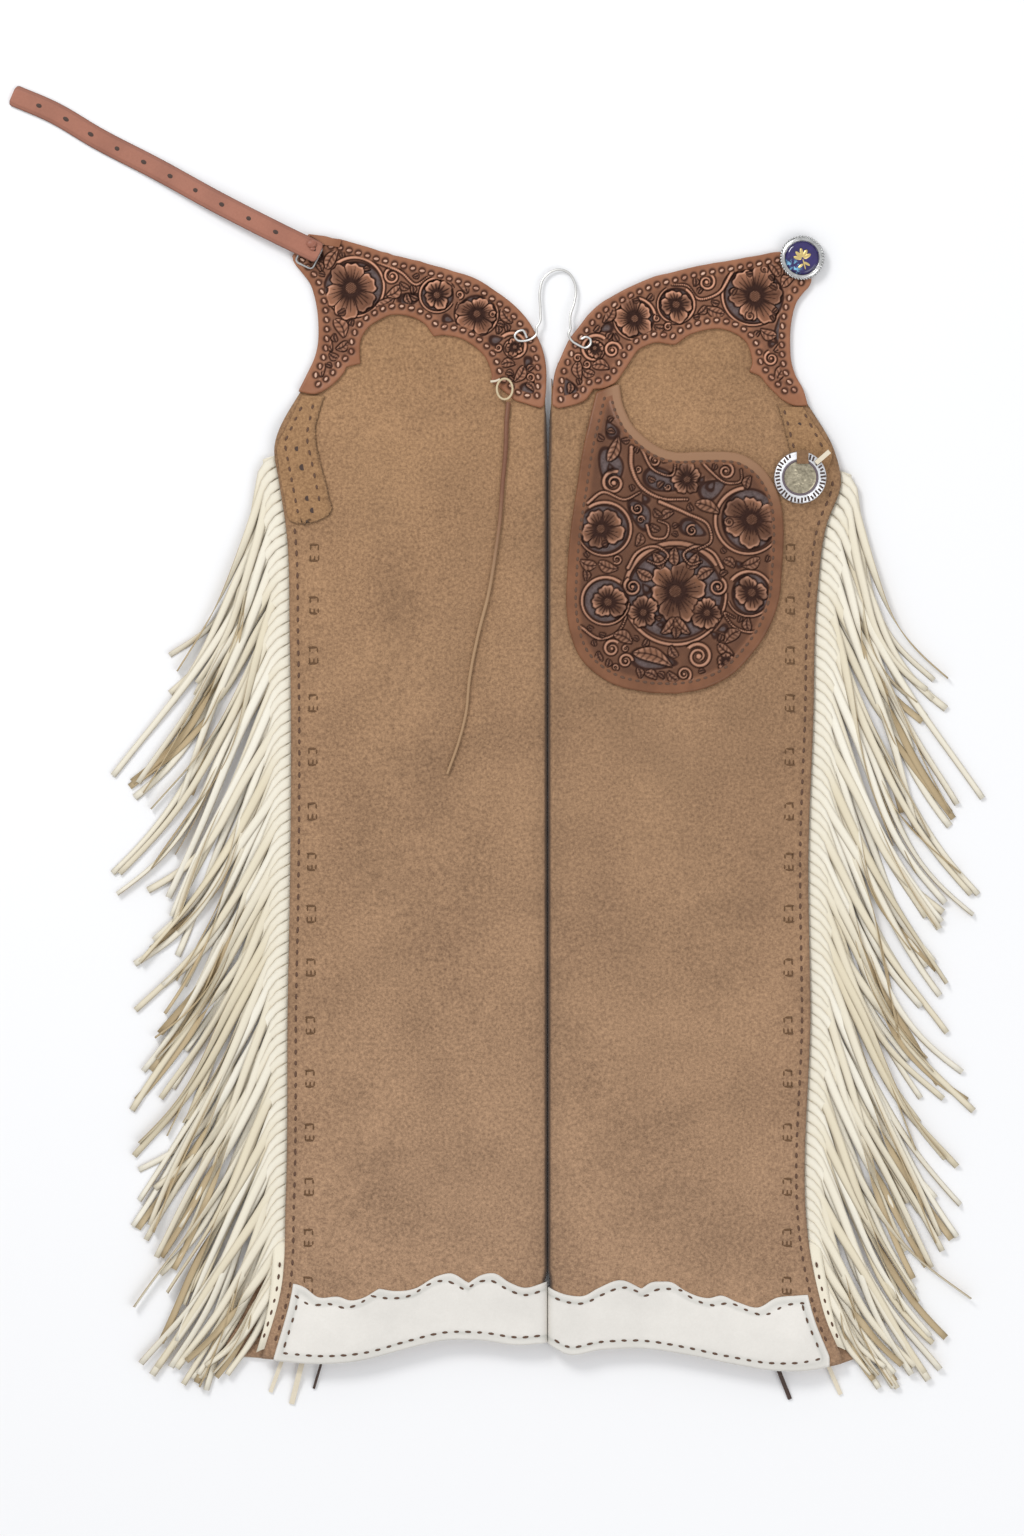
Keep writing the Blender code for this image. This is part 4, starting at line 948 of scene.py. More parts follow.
def outline_of(sections):
    """The closed outline of a plate that is given by its cross sections."""
    last = len(sections) - 1
    places = np.linspace(0, last, last * 7 + 1)
    high = smooth_edge([(s.top_x, s.top_y) for s in sections], places)
    low = smooth_edge([(s.low_x, s.low_y) for s in sections], places)
    return np.vstack([high, low[::-1]])


def to_outline(x, y, outline):
    """Signed distances of spots from a closed outline, positive inside, with the nearest points on it."""
    best = np.full(x.shape, 1e9)
    near_x, near_y = np.zeros(x.shape), np.zeros(x.shape)
    inside = np.zeros(x.shape, bool)
    for (ax, ay), (bx, by) in zip(outline, np.roll(outline, -1, axis=0)):
        length = (bx - ax) ** 2 + (by - ay) ** 2
        if length < 1e-9:
            continue
        t = np.clip(((x - ax) * (bx - ax) + (y - ay) * (by - ay)) / length, 0, 1)
        px, py = ax + t * (bx - ax), ay + t * (by - ay)
        gap = np.hypot(x - px, y - py)
        closer = gap < best
        best = np.where(closer, gap, best)
        near_x, near_y = np.where(closer, px, near_x), np.where(closer, py, near_y)
        if ay != by:
            inside ^= ((ay > y) != (by > y)) & (x < ax + (y - ay) * (bx - ax) / (by - ay))
    return np.where(inside, best, -best), near_x, near_y


def inset_row(outline, inset, pitch):
    """Spots at an even pitch along a line inside an outline, with the line's direction at each."""
    steps = np.linalg.norm(np.diff(outline, axis=0, append=outline[:1]), axis=1)
    along = np.concatenate([[0.0], np.cumsum(steps)])
    closed = np.vstack([outline, outline[:1]])
    places = np.arange(0, along[-1], 0.4)
    line = np.column_stack([np.interp(places, along, closed[:, k]) for k in (0, 1)])
    way = np.roll(line, -2, axis=0) - np.roll(line, 2, axis=0)
    way /= np.linalg.norm(way, axis=1)[:, None] + 1e-9
    turn = np.sum(closed[:-1, 0] * closed[1:, 1] - closed[1:, 0] * closed[:-1, 1])
    side = np.column_stack([-way[:, 1], way[:, 0]]) * (1 if turn > 0 else -1)
    spots = line + side * inset
    room = to_outline(spots[:, 0], spots[:, 1], outline)[0]
    found = []
    for spot, heading, free in zip(spots, way, room):
        near = found[-3:] + found[:1]
        if free > inset - 0.2 and all(np.hypot(*(spot - other)) > pitch * 0.96 for other, _ in near):
            found.append((spot, heading))
    return found


def blurred(field, rounds):
    """A field that is spread to its neighbours over and over."""
    for _ in range(rounds):
        field = (field + np.roll(field, 1, 0) + np.roll(field, -1, 0) + np.roll(field, 1, 1)
                 + np.roll(field, -1, 1)) / 5
    return field


class Tooling:
    """Carved relief over a page grid: heights, dark dye in the cuts with painted shade round the openings,
    where the inlay shows, and the crests for a painted highlight.
    """

    def __init__(self, x, y, room):
        self.x, self.y, self.room = x, y, room
        self.high = np.zeros(x.shape)
        self.stain_and_shade = np.zeros(x.shape)
        self.inlay = np.zeros(x.shape)

    def window(self, x, y, reach):
        """The rows and columns of the grid around a spot."""
        columns = np.searchsorted(self.x[0], [x - reach, x + reach])
        rows = np.searchsorted(self.y[:, 0], [y - reach, y + reach])
        return slice(rows[0], rows[1]), slice(columns[0], columns[1])

    def lay(self, part, mask, high, stain_and_shade=0.0, inlay=0.0):
        """Paints over what is there by a mask from 0 to 1."""
        mask = mask * smooth((self.room[part] - FIELD_EDGE) / 0.8 + 0.5)
        for field, value in ((self.high, high), (self.stain_and_shade, stain_and_shade), (self.inlay, inlay)):
            field[part] = field[part] * (1 - mask) + value * mask

    def cut(self, part, gap, width, depth):
        """A dark cut line by the distance from it."""
        share = np.exp(-(gap / width) ** 2) * smooth((self.room[part] - FIELD_EDGE) / 0.8 + 0.5)
        self.high[part] -= depth * share
        self.stain_and_shade[part] = np.maximum(self.stain_and_shade[part], share * min(1.0, depth * 1.5))

    def burnish(self):
        """Rubs dark dye into the cuts and around them, presses a fine stipple into the plain ground, and
        marks the crests for a painted highlight.
        """
        field = smooth((self.room - FIELD_EDGE) / 1.5)
        plain = field * (self.stain_and_shade < 0.3) * (np.abs(self.high) < 0.35) * (self.inlay < 0.2)
        stipple = np.cos(self.x * 2.9 + np.sin(self.y * 1.3)) * np.cos(self.y * 3.1 + np.sin(self.x * 1.1))
        self.high = self.high * RELIEF + 0.07 * stipple * plain
        self.stain_and_shade = self.stain_and_shade + (0.10 + 0.14 * stipple) * plain
        self.stain_and_shade = np.clip(0.8 * self.stain_and_shade + 0.75 * blurred(self.stain_and_shade, 4) * field, 0, 1)
        about = blurred(self.high, 9)
        # The crests that stand above their blurred surroundings, which the material paints with a highlight.
        self.ridge_highlight = np.clip((self.high - about - 0.12) / 0.6, 0, 1) * (1 - self.inlay) * field

    def fill(self, reaches, tries, salt):
        """Small leaves, curls and openings wherever the carving still leaves the field bare."""
        free = np.argwhere(self.room > FIELD_EDGE + 1)
        for reach in reaches:
            for k in range(tries):
                row, column = free[int((0.5 + 0.5 * uneven(k, salt + reach)) * (len(free) - 1))]
                x, y = self.x[row, column], self.y[row, column]
                part = self.window(x, y, reach * 0.6)
                if self.room[row, column] < FIELD_EDGE + reach * 0.7 or self.stain_and_shade[part].max() > 0.45:
                    continue
                turn = math.pi * uneven(k, salt + 1)
                way_x, way_y = reach * math.cos(turn), reach * math.sin(turn)
                if k % 5 == 0:
                    self.scroll(x, y, reach * 0.8, turn, 1.3, max(1.6, reach * 0.3))
                elif k % 5 == 1:
                    self.hollow(x, y, reach * 0.8, reach * 0.5, turn, 0.5)
                else:
                    self.leaf(x - way_x, y - way_y, x + way_x, y + way_y, reach * 1.15, 0.3 * reach, 4)

    def polar(self, x, y, reach):
        part = self.window(x, y, reach)
        dx, dy = self.x[part] - x, self.y[part] - y
        return part, np.hypot(dx, dy), np.arctan2(dy, dx)

    def hollow(self, x, y, wide, tall, turn=0.0, point=0.0):
        """An opening cut through to the inlay: an oval, or a drop with its point along the turn."""
        part = self.window(x, y, max(wide, tall) + 3)
        wide, tall = wide * 0.94, tall * 0.94
        dx, dy = self.x[part] - x, self.y[part] - y
        u = dx * math.cos(turn) + dy * math.sin(turn)
        v = dy * math.cos(turn) - dx * math.sin(turn)
        narrow = np.clip(1 - point * u / wide, 0.15, 2)
        edge = (1 - np.hypot(u / wide, v / (tall * narrow))) * min(wide, tall)
        self.cut(part, edge, 1.5, 0.65)
        # Painted shade round the inside of the opening's rim, over the inlay.
        self.lay(part, smooth(edge / 0.8 + 0.2), -1.1, 0.4 * np.exp(-edge / 1.6), 1.0)

    def ring(self, x, y, radius, start, sweep, width=2.2):
        """A raised stem that curls round part of a circle and tapers to its end."""
        part, r, angle = self.polar(x, y, radius + 5)
        share = ((angle - start) * (1 if sweep > 0 else -1) % (2 * math.pi)) / abs(sweep)
        on = (share <= 1.0).astype(float)
        taper = width * (1.0 - 0.55 * np.clip(share, 0, 1)) / 2
        off = (np.abs(r - radius) - taper)
        self.cut(part, np.where(on > 0, off - 0.5, 9.0), 0.65, 0.75)
        self.lay(part, on * smooth(0.5 - off / 0.7), 0.45 - 0.35 * (np.abs(r - radius) / (taper + 0.1)) ** 2)

    def flower(self, x, y, radius, petals, turn=0.0, seeds=0.2, veins=5):
        """An open flower: ruffled petals with cut veins about a seeded middle."""
        radius = radius * 1.24
        part, r, angle = self.polar(x, y, radius * 1.2)
        lobe = np.abs(np.cos(petals * (angle - turn) / 2))
        ruffle = 0.03 * np.sin(petals * 3.0 * (angle - turn) + 1) + 0.03 * np.sin(5.3 * angle + x)
        lean = 0.09 * np.sin(angle + x) + 0.06 * np.sin(2 * angle + y) + 0.05 * np.sin(3 * angle + x + y)
        edge = radius * (0.74 + 0.2 * lobe ** 0.55 + ruffle + lean)
        inner = np.clip(r / edge, 0, 1)
        self.cut(part, r - edge - 0.4, 0.75, 0.9)
        dome = 0.25 + 0.75 * inner ** 0.8 - 0.55 * smooth((inner - 0.72) / 0.28)
        vein = np.abs(np.sin(petals * veins * (angle - turn) / 2))
        long = 0.62 + 0.3 * lobe
        cuts = np.exp(-(vein * r * 0.34) ** 2) * smooth((long - inner) / 0.15) * smooth((inner - seeds) / 0.1)
        split = np.exp(-(lobe * r * 0.9) ** 2) * smooth((inner - 0.3) / 0.2)
        curl = 0.35 * np.clip(np.sin(2 * angle + 1.7 * x), 0, 1) * smooth((inner - 0.45) / 0.3)
        dark = 1.1 * cuts + split + 0.7 * curl + 1.2 * (1 - inner) ** 1.6 + 0.05 * np.sin(9 * angle)
        self.lay(part, smooth((edge - r) / 0.7 + 0.3), dome - 0.7 * cuts - 0.9 * split - curl,
                 np.clip(dark, 0, 1))
        middle = radius * seeds
        dots = np.cos(self.x[part] * 3.6) * np.cos(self.y[part] * 3.6 + self.x[part])
        self.lay(part, smooth((middle - r) / 0.6 + 0.5), 0.55 + 0.3 * dots, 0.45 - 0.4 * dots)
        self.cut(part, r - middle - 0.4, 0.6, 0.5)

    def leaf(self, x, y, end_x, end_y, wide, bow=0.0, veins=5):
        """A pointed leaf with a middle rib and slanting veins."""
        length = math.hypot(end_x - x, end_y - y)
        part = self.window((x + end_x) / 2, (y + end_y) / 2, length / 2 + wide + 2)
        ux, uy = (end_x - x) / length, (end_y - y) / length
        dx, dy = self.x[part] - x, self.y[part] - y
        along = (dx * ux + dy * uy) / length
        across = dy * ux - dx * uy - bow * np.sin(math.pi * np.clip(along, 0, 1))
        half = wide / 2 * np.sin(math.pi * np.clip(along, 0, 1) ** 0.8) ** 0.9
        edge = np.where((along > 0) & (along < 1), half - np.abs(across), -np.hypot(across, 3.0))
        self.cut(part, edge + 0.5, 0.7, 0.8)
        rib = np.exp(-(across / 0.55) ** 2)
        slant = np.abs(np.sin(math.pi * (along * veins + np.abs(across) / wide * 1.3)))
        side = np.exp(-(slant * length / veins * 0.42) ** 2) * smooth(edge / 1.0)
        bulge = 0.7 * np.sqrt(np.clip(edge / (half + 0.3), 0, 1))
        dark = np.clip(0.85 * rib + 0.5 * side, 0, 1)
        self.lay(part, smooth(edge / 0.6 + 0.4), bulge - 0.55 * rib - 0.3 * side, dark)

    def scroll(self, x, y, radius, start, turns, width=2.6, shrink=0.72):
        """A stem that winds into a spiral and ends in a round bud."""
        part, r, angle = self.polar(x, y, radius + width + 2)
        best = np.full(r.shape, 9.0)
        wide = np.full(r.shape, width)
        way = 1 if turns > 0 else -1
        for k in range(int(abs(turns)) + 2):
            wound = ((angle - start) * way % (2 * math.pi)) / (2 * math.pi) + k
            share = wound / abs(turns)
            line = radius * (1 - shrink * share)
            gap = np.where(share <= 1, np.abs(r - line), 9.0)
            closer = gap < best
            best = np.where(closer, gap, best)
            wide = np.where(closer, width * (1 - 0.45 * share), wide)
        off = best - wide / 2
        self.cut(part, off - 0.5, 0.65, 0.8)
        self.lay(part, smooth(0.5 - off / 0.7), 0.5 - 0.5 * (best / (wide / 2 + 0.1)) ** 2)
        bud = radius * (1 - shrink) * 0.8
        self.cut(part, r - bud, 0.6, 0.7)
        self.lay(part, smooth((bud - r) / 0.6 + 0.3), 0.7 - 0.5 * (r / (bud + 0.1)) ** 2)

    def stem(self, spots, width=2.2):
        """A raised stem along a smooth line through spots, tapering to its end."""
        line = through_spots(spots, 40)
        middle = line.mean(axis=0)
        part = self.window(middle[0], middle[1], np.abs(line - middle).max() + 5)
        best = np.full(self.x[part].shape, 9.0)
        wide = np.full(best.shape, width)
        for k, (px, py) in enumerate(line):
            gap = np.hypot(self.x[part] - px, self.y[part] - py)
            closer = gap < best
            best = np.where(closer, gap, best)
            wide = np.where(closer, width * (1 - 0.5 * k / len(line)), wide)
        off = best - wide / 2
        self.cut(part, off - 0.5, 0.65, 0.75)
        self.lay(part, smooth(0.5 - off / 0.7), 0.5 - 0.45 * (best / (wide / 2 + 0.1)) ** 2)


def make_plate(name, leg, sections, spacing, gap, bulge, draw, skins, node):
    """A tooled plate on a leg: a page grid trimmed to the outline and carved, with a rim and an underside."""
    outline = outline_of(sections)
    low, high = outline.min(axis=0) - spacing, outline.max(axis=0) + spacing
    columns, rows = (np.ceil((high - low) / spacing)).astype(int) + 1
    x, y = np.meshgrid(low[0] + np.arange(columns) * spacing, low[1] + np.arange(rows) * spacing)
    room, near_x, near_y = to_outline(x, y, outline)
    tooling = Tooling(x, y, room)
    row = draw(tooling, outline)
    tooling.fill((9, 7.5, 6, 4.8, 3.8, 3), 420, len(sections))
    tooling.burnish()
    middle, half = outline.mean(axis=0), (high - low) / 2
    from_middle = zip((x - middle[0], y - middle[1]), half)
    crown = [np.clip(1 - (spots / reach) ** 2, 0, 1) for spots, reach in from_middle]
    lift = bulge * crown[0] * crown[1]
    base = leg.height(x, y) + gap + TOOLED + lift
    round_edge = EDGE_ROUND * (1 - np.sqrt(1 - (1 - np.clip(room / EDGE_ROUND, 0, 1)) ** 2))
    mesh = trimmed_grid(name, x, y, base + tooling.high - round_edge * 0.8, room, near_x, near_y, spacing, {
        "stain_and_shade": tooling.stain_and_shade, "inlay": tooling.inlay, "ridge_highlight": tooling.ridge_highlight, "room": np.clip(room, 0, 20)},
        base, bulge == 0)
    place_piece(name, mesh, skins, [node])
    surface = (leg, gap, lift, x, y)
    return row, lambda px, py: plate_top(surface, px, py)


def plate_top(surface, px, py):
    """The height of a plate's smooth top at a spot."""
    leg, gap, lift, x, y = surface
    column = int(np.clip(np.searchsorted(x[0], px), 0, x.shape[1] - 1))
    row = int(np.clip(np.searchsorted(y[:, 0], py), 0, x.shape[0] - 1))
    return float(leg.height(px, py)) + gap + TOOLED + float(lift[row, column])


def trimmed_grid(name, x, y, z, room, near_x, near_y, spacing, masks, base, follow):
    """A page grid cut to its outline, whose edge points are moved onto the outline.

    Its underside follows what it lies on, or is one face.
    """
    bm = bmesh.new()
    bmesh.ops.create_grid(bm, x_segments=x.shape[1] - 1, y_segments=x.shape[0] - 1, size=1)
    layers = {key: bm.verts.layers.float.new(key) for key in masks}
    flat = {key: values.ravel() for key, values in masks.items()}
    number = bm.verts.layers.int.new("number")
    keep = room.ravel() > spacing * 0.3
    for k, (vert, px, py, pz) in enumerate(zip(bm.verts, x.ravel(), y.ravel(), z.ravel())):
        if keep[k]:
            vert.co = (px, py, pz)
            vert[number] = k
            for key, layer in layers.items():
                vert[layer] = flat[key][k]
    bmesh.ops.delete(bm, geom=[vert for k, vert in enumerate(bm.verts) if not keep[k]], context="VERTS")
    loose = [vert for vert in bm.verts if not vert.link_faces]
    bmesh.ops.delete(bm, geom=loose, context="VERTS")
    near_x, near_y, base = near_x.ravel(), near_y.ravel(), base.ravel()
    rim = [edge for edge in bm.edges if edge.is_boundary]
    for vert in {vert for edge in rim for vert in edge.verts}:
        k = vert[number]
        vert.co = (near_x[k], near_y[k], base[k] - EDGE_ROUND * 0.8)
    under = bmesh.ops.duplicate(bm, geom=bm.verts[:] + bm.edges[:] + bm.faces[:])["geom"] if follow else []
    made = bmesh.ops.extrude_edge_only(bm, edges=rim)["geom"]
    below = [vert for vert in made + under if isinstance(vert, bmesh.types.BMVert)]
    for vert in below:
        vert.co.z = base[vert[number]] - TOOLED
    if follow:
        inside = [edge for edge in under if isinstance(edge, bmesh.types.BMEdge) and not edge.is_boundary]
        bmesh.ops.dissolve_limit(bm, angle_limit=UNDER_TURN, verts=[], edges=inside)
        bmesh.ops.remove_doubles(bm, verts=[vert for vert in bm.verts if vert.is_boundary], dist=1e-4)
    else:
        bmesh.ops.holes_fill(bm, edges=[edge for edge in bm.edges if edge.is_boundary], sides=0)
    bmesh.ops.recalc_face_normals(bm, faces=bm.faces)
    mesh = bpy.data.meshes.new(name)
    bm.to_mesh(mesh)
    bm.free()
    return mesh


def border_beads(tooling, outline):
    """A row of beads in dark sockets pressed inside the edge; returns where they sit."""
    row = inset_row(outline, BEAD_INSET, BEAD_PITCH)
    for spot, _ in row:
        part = tooling.window(spot[0], spot[1], 5)
        gap = np.hypot(tooling.x[part] - spot[0], tooling.y[part] - spot[1])
        ring = np.exp(-((gap - 2.3) / 1.2) ** 2)
        tooling.high[part] -= 0.45 * ring
        tooling.stain_and_shade[part] = np.maximum(tooling.stain_and_shade[part], 1.15 * ring)
    return row


def yoke_ground(tooling, outline):
    tooling.stain_and_shade += 0.16 * smooth((tooling.room - 11) / 2)
    tooling.high -= 0.25 * smooth((tooling.room - FIELD_EDGE) / 1.5 + 0.3)
    return border_beads(tooling, outline)


def draw_left_yoke(tooling, outline):
    row = yoke_ground(tooling, outline)
    t = tooling
    t.hollow(-133, 388, 26, 23, 0.2)
    t.ring(-132, 389, 25, 2.2, -4.6, 2.6)
    t.flower(-135, 388, 19.5, 6, 0.3, 0.2, 5)
    t.leaf(-156, 404, -146, 421, 9, 1.5)
    t.leaf(-114, 372, -98, 380, 8, -1.5)
    t.hollow(-161, 363, 12, 6.5, 1.5, 0.5)
    t.leaf(-164, 348, -151, 334, 8.5, 2)
    t.leaf(-166, 330, -160, 312, 8, 2)
    t.scroll(-100, 398, 7.5, 0.6, 1.4, 2.4)
    t.stem([(-112, 410), (-92, 401), (-80, 391), (-66, 398), (-56, 392)], 2.6)
    t.hollow(-84, 379, 10, 4.5, 0.3, 0.5)
    t.hollow(-62, 382, 14, 13.5)
    t.ring(-62, 382, 14.5, 0.4, 5.4, 2.2)
    t.flower(-62, 382, 10.5, 4, 0.5, 0.22, 4)
    t.leaf(-44, 396, -36, 383, 7, 1.5)
    t.hollow(-28, 366, 17, 16)
    t.ring(-28, 366, 17.5, 2.6, 5.0, 2.4)
    t.flower(-28, 366, 14, 5, 0.1, 0.18, 6)
    t.leaf(-7, 371, 2, 358, 8, -1.5)
    t.scroll(3, 338, 12.5, 2.4, -1.3, 3.0, 0.66)
    t.flower(4, 338, 6.2, 5, 0.7, 0.25, 3)
    t.leaf(12, 322, 3, 308, 8, 2)
    t.hollow(17, 303, 8, 5, 0.5, 0.4)
    return row


def draw_right_yoke(tooling, outline):
    row = yoke_ground(tooling, outline)
    t = tooling
    t.hollow(207, 381, 26, 24, -0.2)
    t.ring(206, 382, 25.5, 0.9, 4.7, 2.6)
    t.flower(208, 381, 20, 6, 0.1, 0.19, 5)
    t.leaf(229, 398, 219, 410, 8, -1.5)
    t.hollow(231, 352, 11, 6, 1.7, 0.5)
    t.leaf(236, 344, 224, 334, 8, 2)
    t.leaf(236, 322, 226, 308, 8, -2)
    t.scroll(167, 393, 8, 2.6, -1.5, 2.4)
    t.leaf(182, 366, 166, 372, 8.5, 1.5)
    t.stem([(189, 402), (176, 383), (160, 379), (150, 390), (138, 391)], 2.6)
    t.hollow(141, 374, 15, 14)
    t.ring(141, 374, 15.5, 1.0, -5.2, 2.3)
    t.flower(141, 374, 11.5, 4, 0.2, 0.22, 5)
    t.hollow(106, 362, 17, 15.5, 0.3)
    t.ring(106, 362, 17.5, 0.2, 5.2, 2.4)
    t.flower(106, 362, 14, 5, 0.6, 0.18, 6)
    t.leaf(88, 372, 79, 358, 8, 1.5)
    t.scroll(72, 336, 12.5, 0.8, 1.3, 3.0, 0.66)
    t.flower(72, 337, 6.4, 5, 0.2, 0.25, 3)
    t.leaf(58, 326, 60, 310, 8, -2)
    t.hollow(50, 303, 9, 5.5, 2.0, 0.5)
    return row


def draw_pocket(tooling, outline):
    """A wreath of stems about open flowers, with small ones and leaves in the corners."""
    t = tooling
    t.stain_and_shade += 0.2 * smooth((t.room - 11) / 2)
    t.high -= 0.3 * smooth((t.room - FIELD_EDGE) / 1.5 + 0.3)
    t.hollow(140, 128, 42, 40)
    t.ring(140, 128, 43, 0.6, 5.7, 4.2)
    t.flower(140, 130, 21, 6, 0.2, 0.2, 5)
    t.flower(113, 112, 11, 5, 0.6, 0.22, 4)
    t.flower(167, 112, 11, 5, 0.1, 0.22, 4)
    for k in range(5):
        angle = math.radians(30 + 30 * k)
        t.leaf(140 + 22 * math.cos(angle), 130 + 22 * math.sin(angle),
               140 + 38 * math.cos(angle), 130 + 38 * math.sin(angle), 9, 1.5 * (-1) ** k)
    t.leaf(140, 108, 128, 94, 9, 2)
    t.leaf(140, 108, 153, 94, 9, -2)
    t.stem([(100, 150), (108, 163), (124, 168), (134, 160), (126, 153), (117, 156)], 2.8)
    t.stem([(180, 150), (172, 163), (157, 168), (147, 161), (153, 153), (162, 155)], 2.8)
    t.scroll(104, 134, 7.5, 2.0, 1.5, 2.4)
    t.scroll(176, 134, 7.5, 1.1, -1.5, 2.4)
    t.leaf(140, 100, 140, 90, 7, 1)
    t.hollow(203, 191, 24, 27)
    t.ring(202, 190, 28, 1.7, 4.4, 3.2)
    t.flower(205, 191, 19, 6, 0.4, 0.2, 5)
    t.hollow(79, 183, 22, 21)
    t.ring(80, 183, 22.5, 2.2, -5.2, 2.8)
    t.flower(77, 183, 15, 5, 0.8, 0.2, 5)
    t.hollow(86, 236, 10, 16, 0.2, 0.3)
    t.scroll(88, 222, 10, 1.2, 1.5, 3.0)
    t.leaf(83, 240, 92, 262, 9, -1.5)
    t.stem([(103, 252), (103, 236), (111, 219), (128, 209), (150, 208)], 3.6)
    t.hollow(130, 224, 17, 9, -0.3, 0.3)
    t.flower(150, 225, 11, 5, 0.3, 0.22, 4)
    t.scroll(123, 241, 6, 0, 1.5, 2.2)
    t.hollow(172, 217, 12, 7, 0.5, 0.5)
    t.scroll(183, 232, 7, 2.0, -1.4, 2.4)
    t.leaf(157, 205, 178, 196, 10, 2)
    t.hollow(111, 196, 8, 13, 0.5, 0.4)
    t.stem([(127, 206), (150, 196), (168, 186), (170, 172), (160, 166)], 3.2)
    t.hollow(155, 183, 11, 6, -0.4, 0.4)
    t.stem([(112, 250), (122, 233), (138, 229), (139, 240), (130, 240)], 2.4)
    t.stem([(160, 243), (170, 232), (184, 222), (196, 224), (196, 233)], 2.4)
    t.stem([(66, 205), (78, 214), (98, 208), (110, 214)], 2.6)
    t.stem([(116, 186), (120, 176), (132, 176), (134, 186), (126, 190)], 2.4)
    t.stem([(60, 100), (76, 90), (92, 96), (98, 110), (90, 104)], 2.4)
    t.stem([(222, 110), (208, 96), (190, 100), (182, 112), (190, 108)], 2.4)
    t.hollow(81, 122, 19, 19)
    t.ring(81, 122, 20, 0.9, 5.3, 2.8)
    t.flower(83, 121, 12.5, 5, 0.5, 0.22, 4)
    t.hollow(204, 128, 16, 18)
    t.ring(203, 128, 19, 2.5, -5.3, 2.8)
    t.flower(205, 129, 12, 4, 0.2, 0.24, 5)
    t.leaf(75, 155, 92, 149, 9, -2)
    t.leaf(212, 158, 196, 152, 9, 2)
    t.leaf(88, 94, 104, 86, 10, 2)
    t.leaf(195, 97, 182, 86, 10, -2)
    t.hollow(122, 72, 19, 8, -0.15, 0.4)
    t.leaf(104, 78, 138, 66, 12, 4, 7)
    t.scroll(160, 75, 11, 2.5, -1.6, 3.2)
    t.leaf(176, 86, 190, 76, 8, -1.5)
    t.scroll(98, 71, 6, 0, 1.4, 2.4)
    t.flower(183, 70, 6.5, 5, 0.3, 0.25, 3)
    return inset_row(outline, 8.2, 6.6)


def make_tab(leg, rows, skins):
    """The frayed tab over the hip."""
    up = sorted(rows, key=lambda row: row.y)
    outer = curve_through([r.y for r in up], [r.outer for r in up])
    inner = curve_through([r.y for r in up], [r.inner for r in up])
    y = np.linspace(up[-1].y, up[0].y, 110)[:, None]
    share = np.linspace(0, 1, 34)
    x = (outer(y) + leg.toward * TAB_EDGE) * (1 - share) + inner(y) * share
    edge = np.minimum((1 - share) * np.abs(outer(y) - inner(y)), y - up[0].y)
    ragged = np.exp(-edge / 1.6)
    x = x + ragged * 0.7 * soft_noise(x * 0 + 3, y + 0 * x, 3.1, 17)
    y = y + ragged * 0.8 * soft_noise(x, y * 0 + 3, 3.3, 19)
    z = leg.height(x, y) + LAY_GAP + TAB_LEATHER - 0.5 * ragged
    stain_and_shade = np.clip(ragged * (0.55 + 0.6 * soft_noise(x, y, 2.4, 23)), 0, 1)
    mesh = grid_mesh("side_tab_skin_" + leg.name, np.dstack([x, y, z]), {"stain_and_shade": stain_and_shade})
    tab = place_piece(mesh.name, mesh, skins, ["side_tab_" + leg.name])
    thicken(tab, TAB_LEATHER)
    return tab


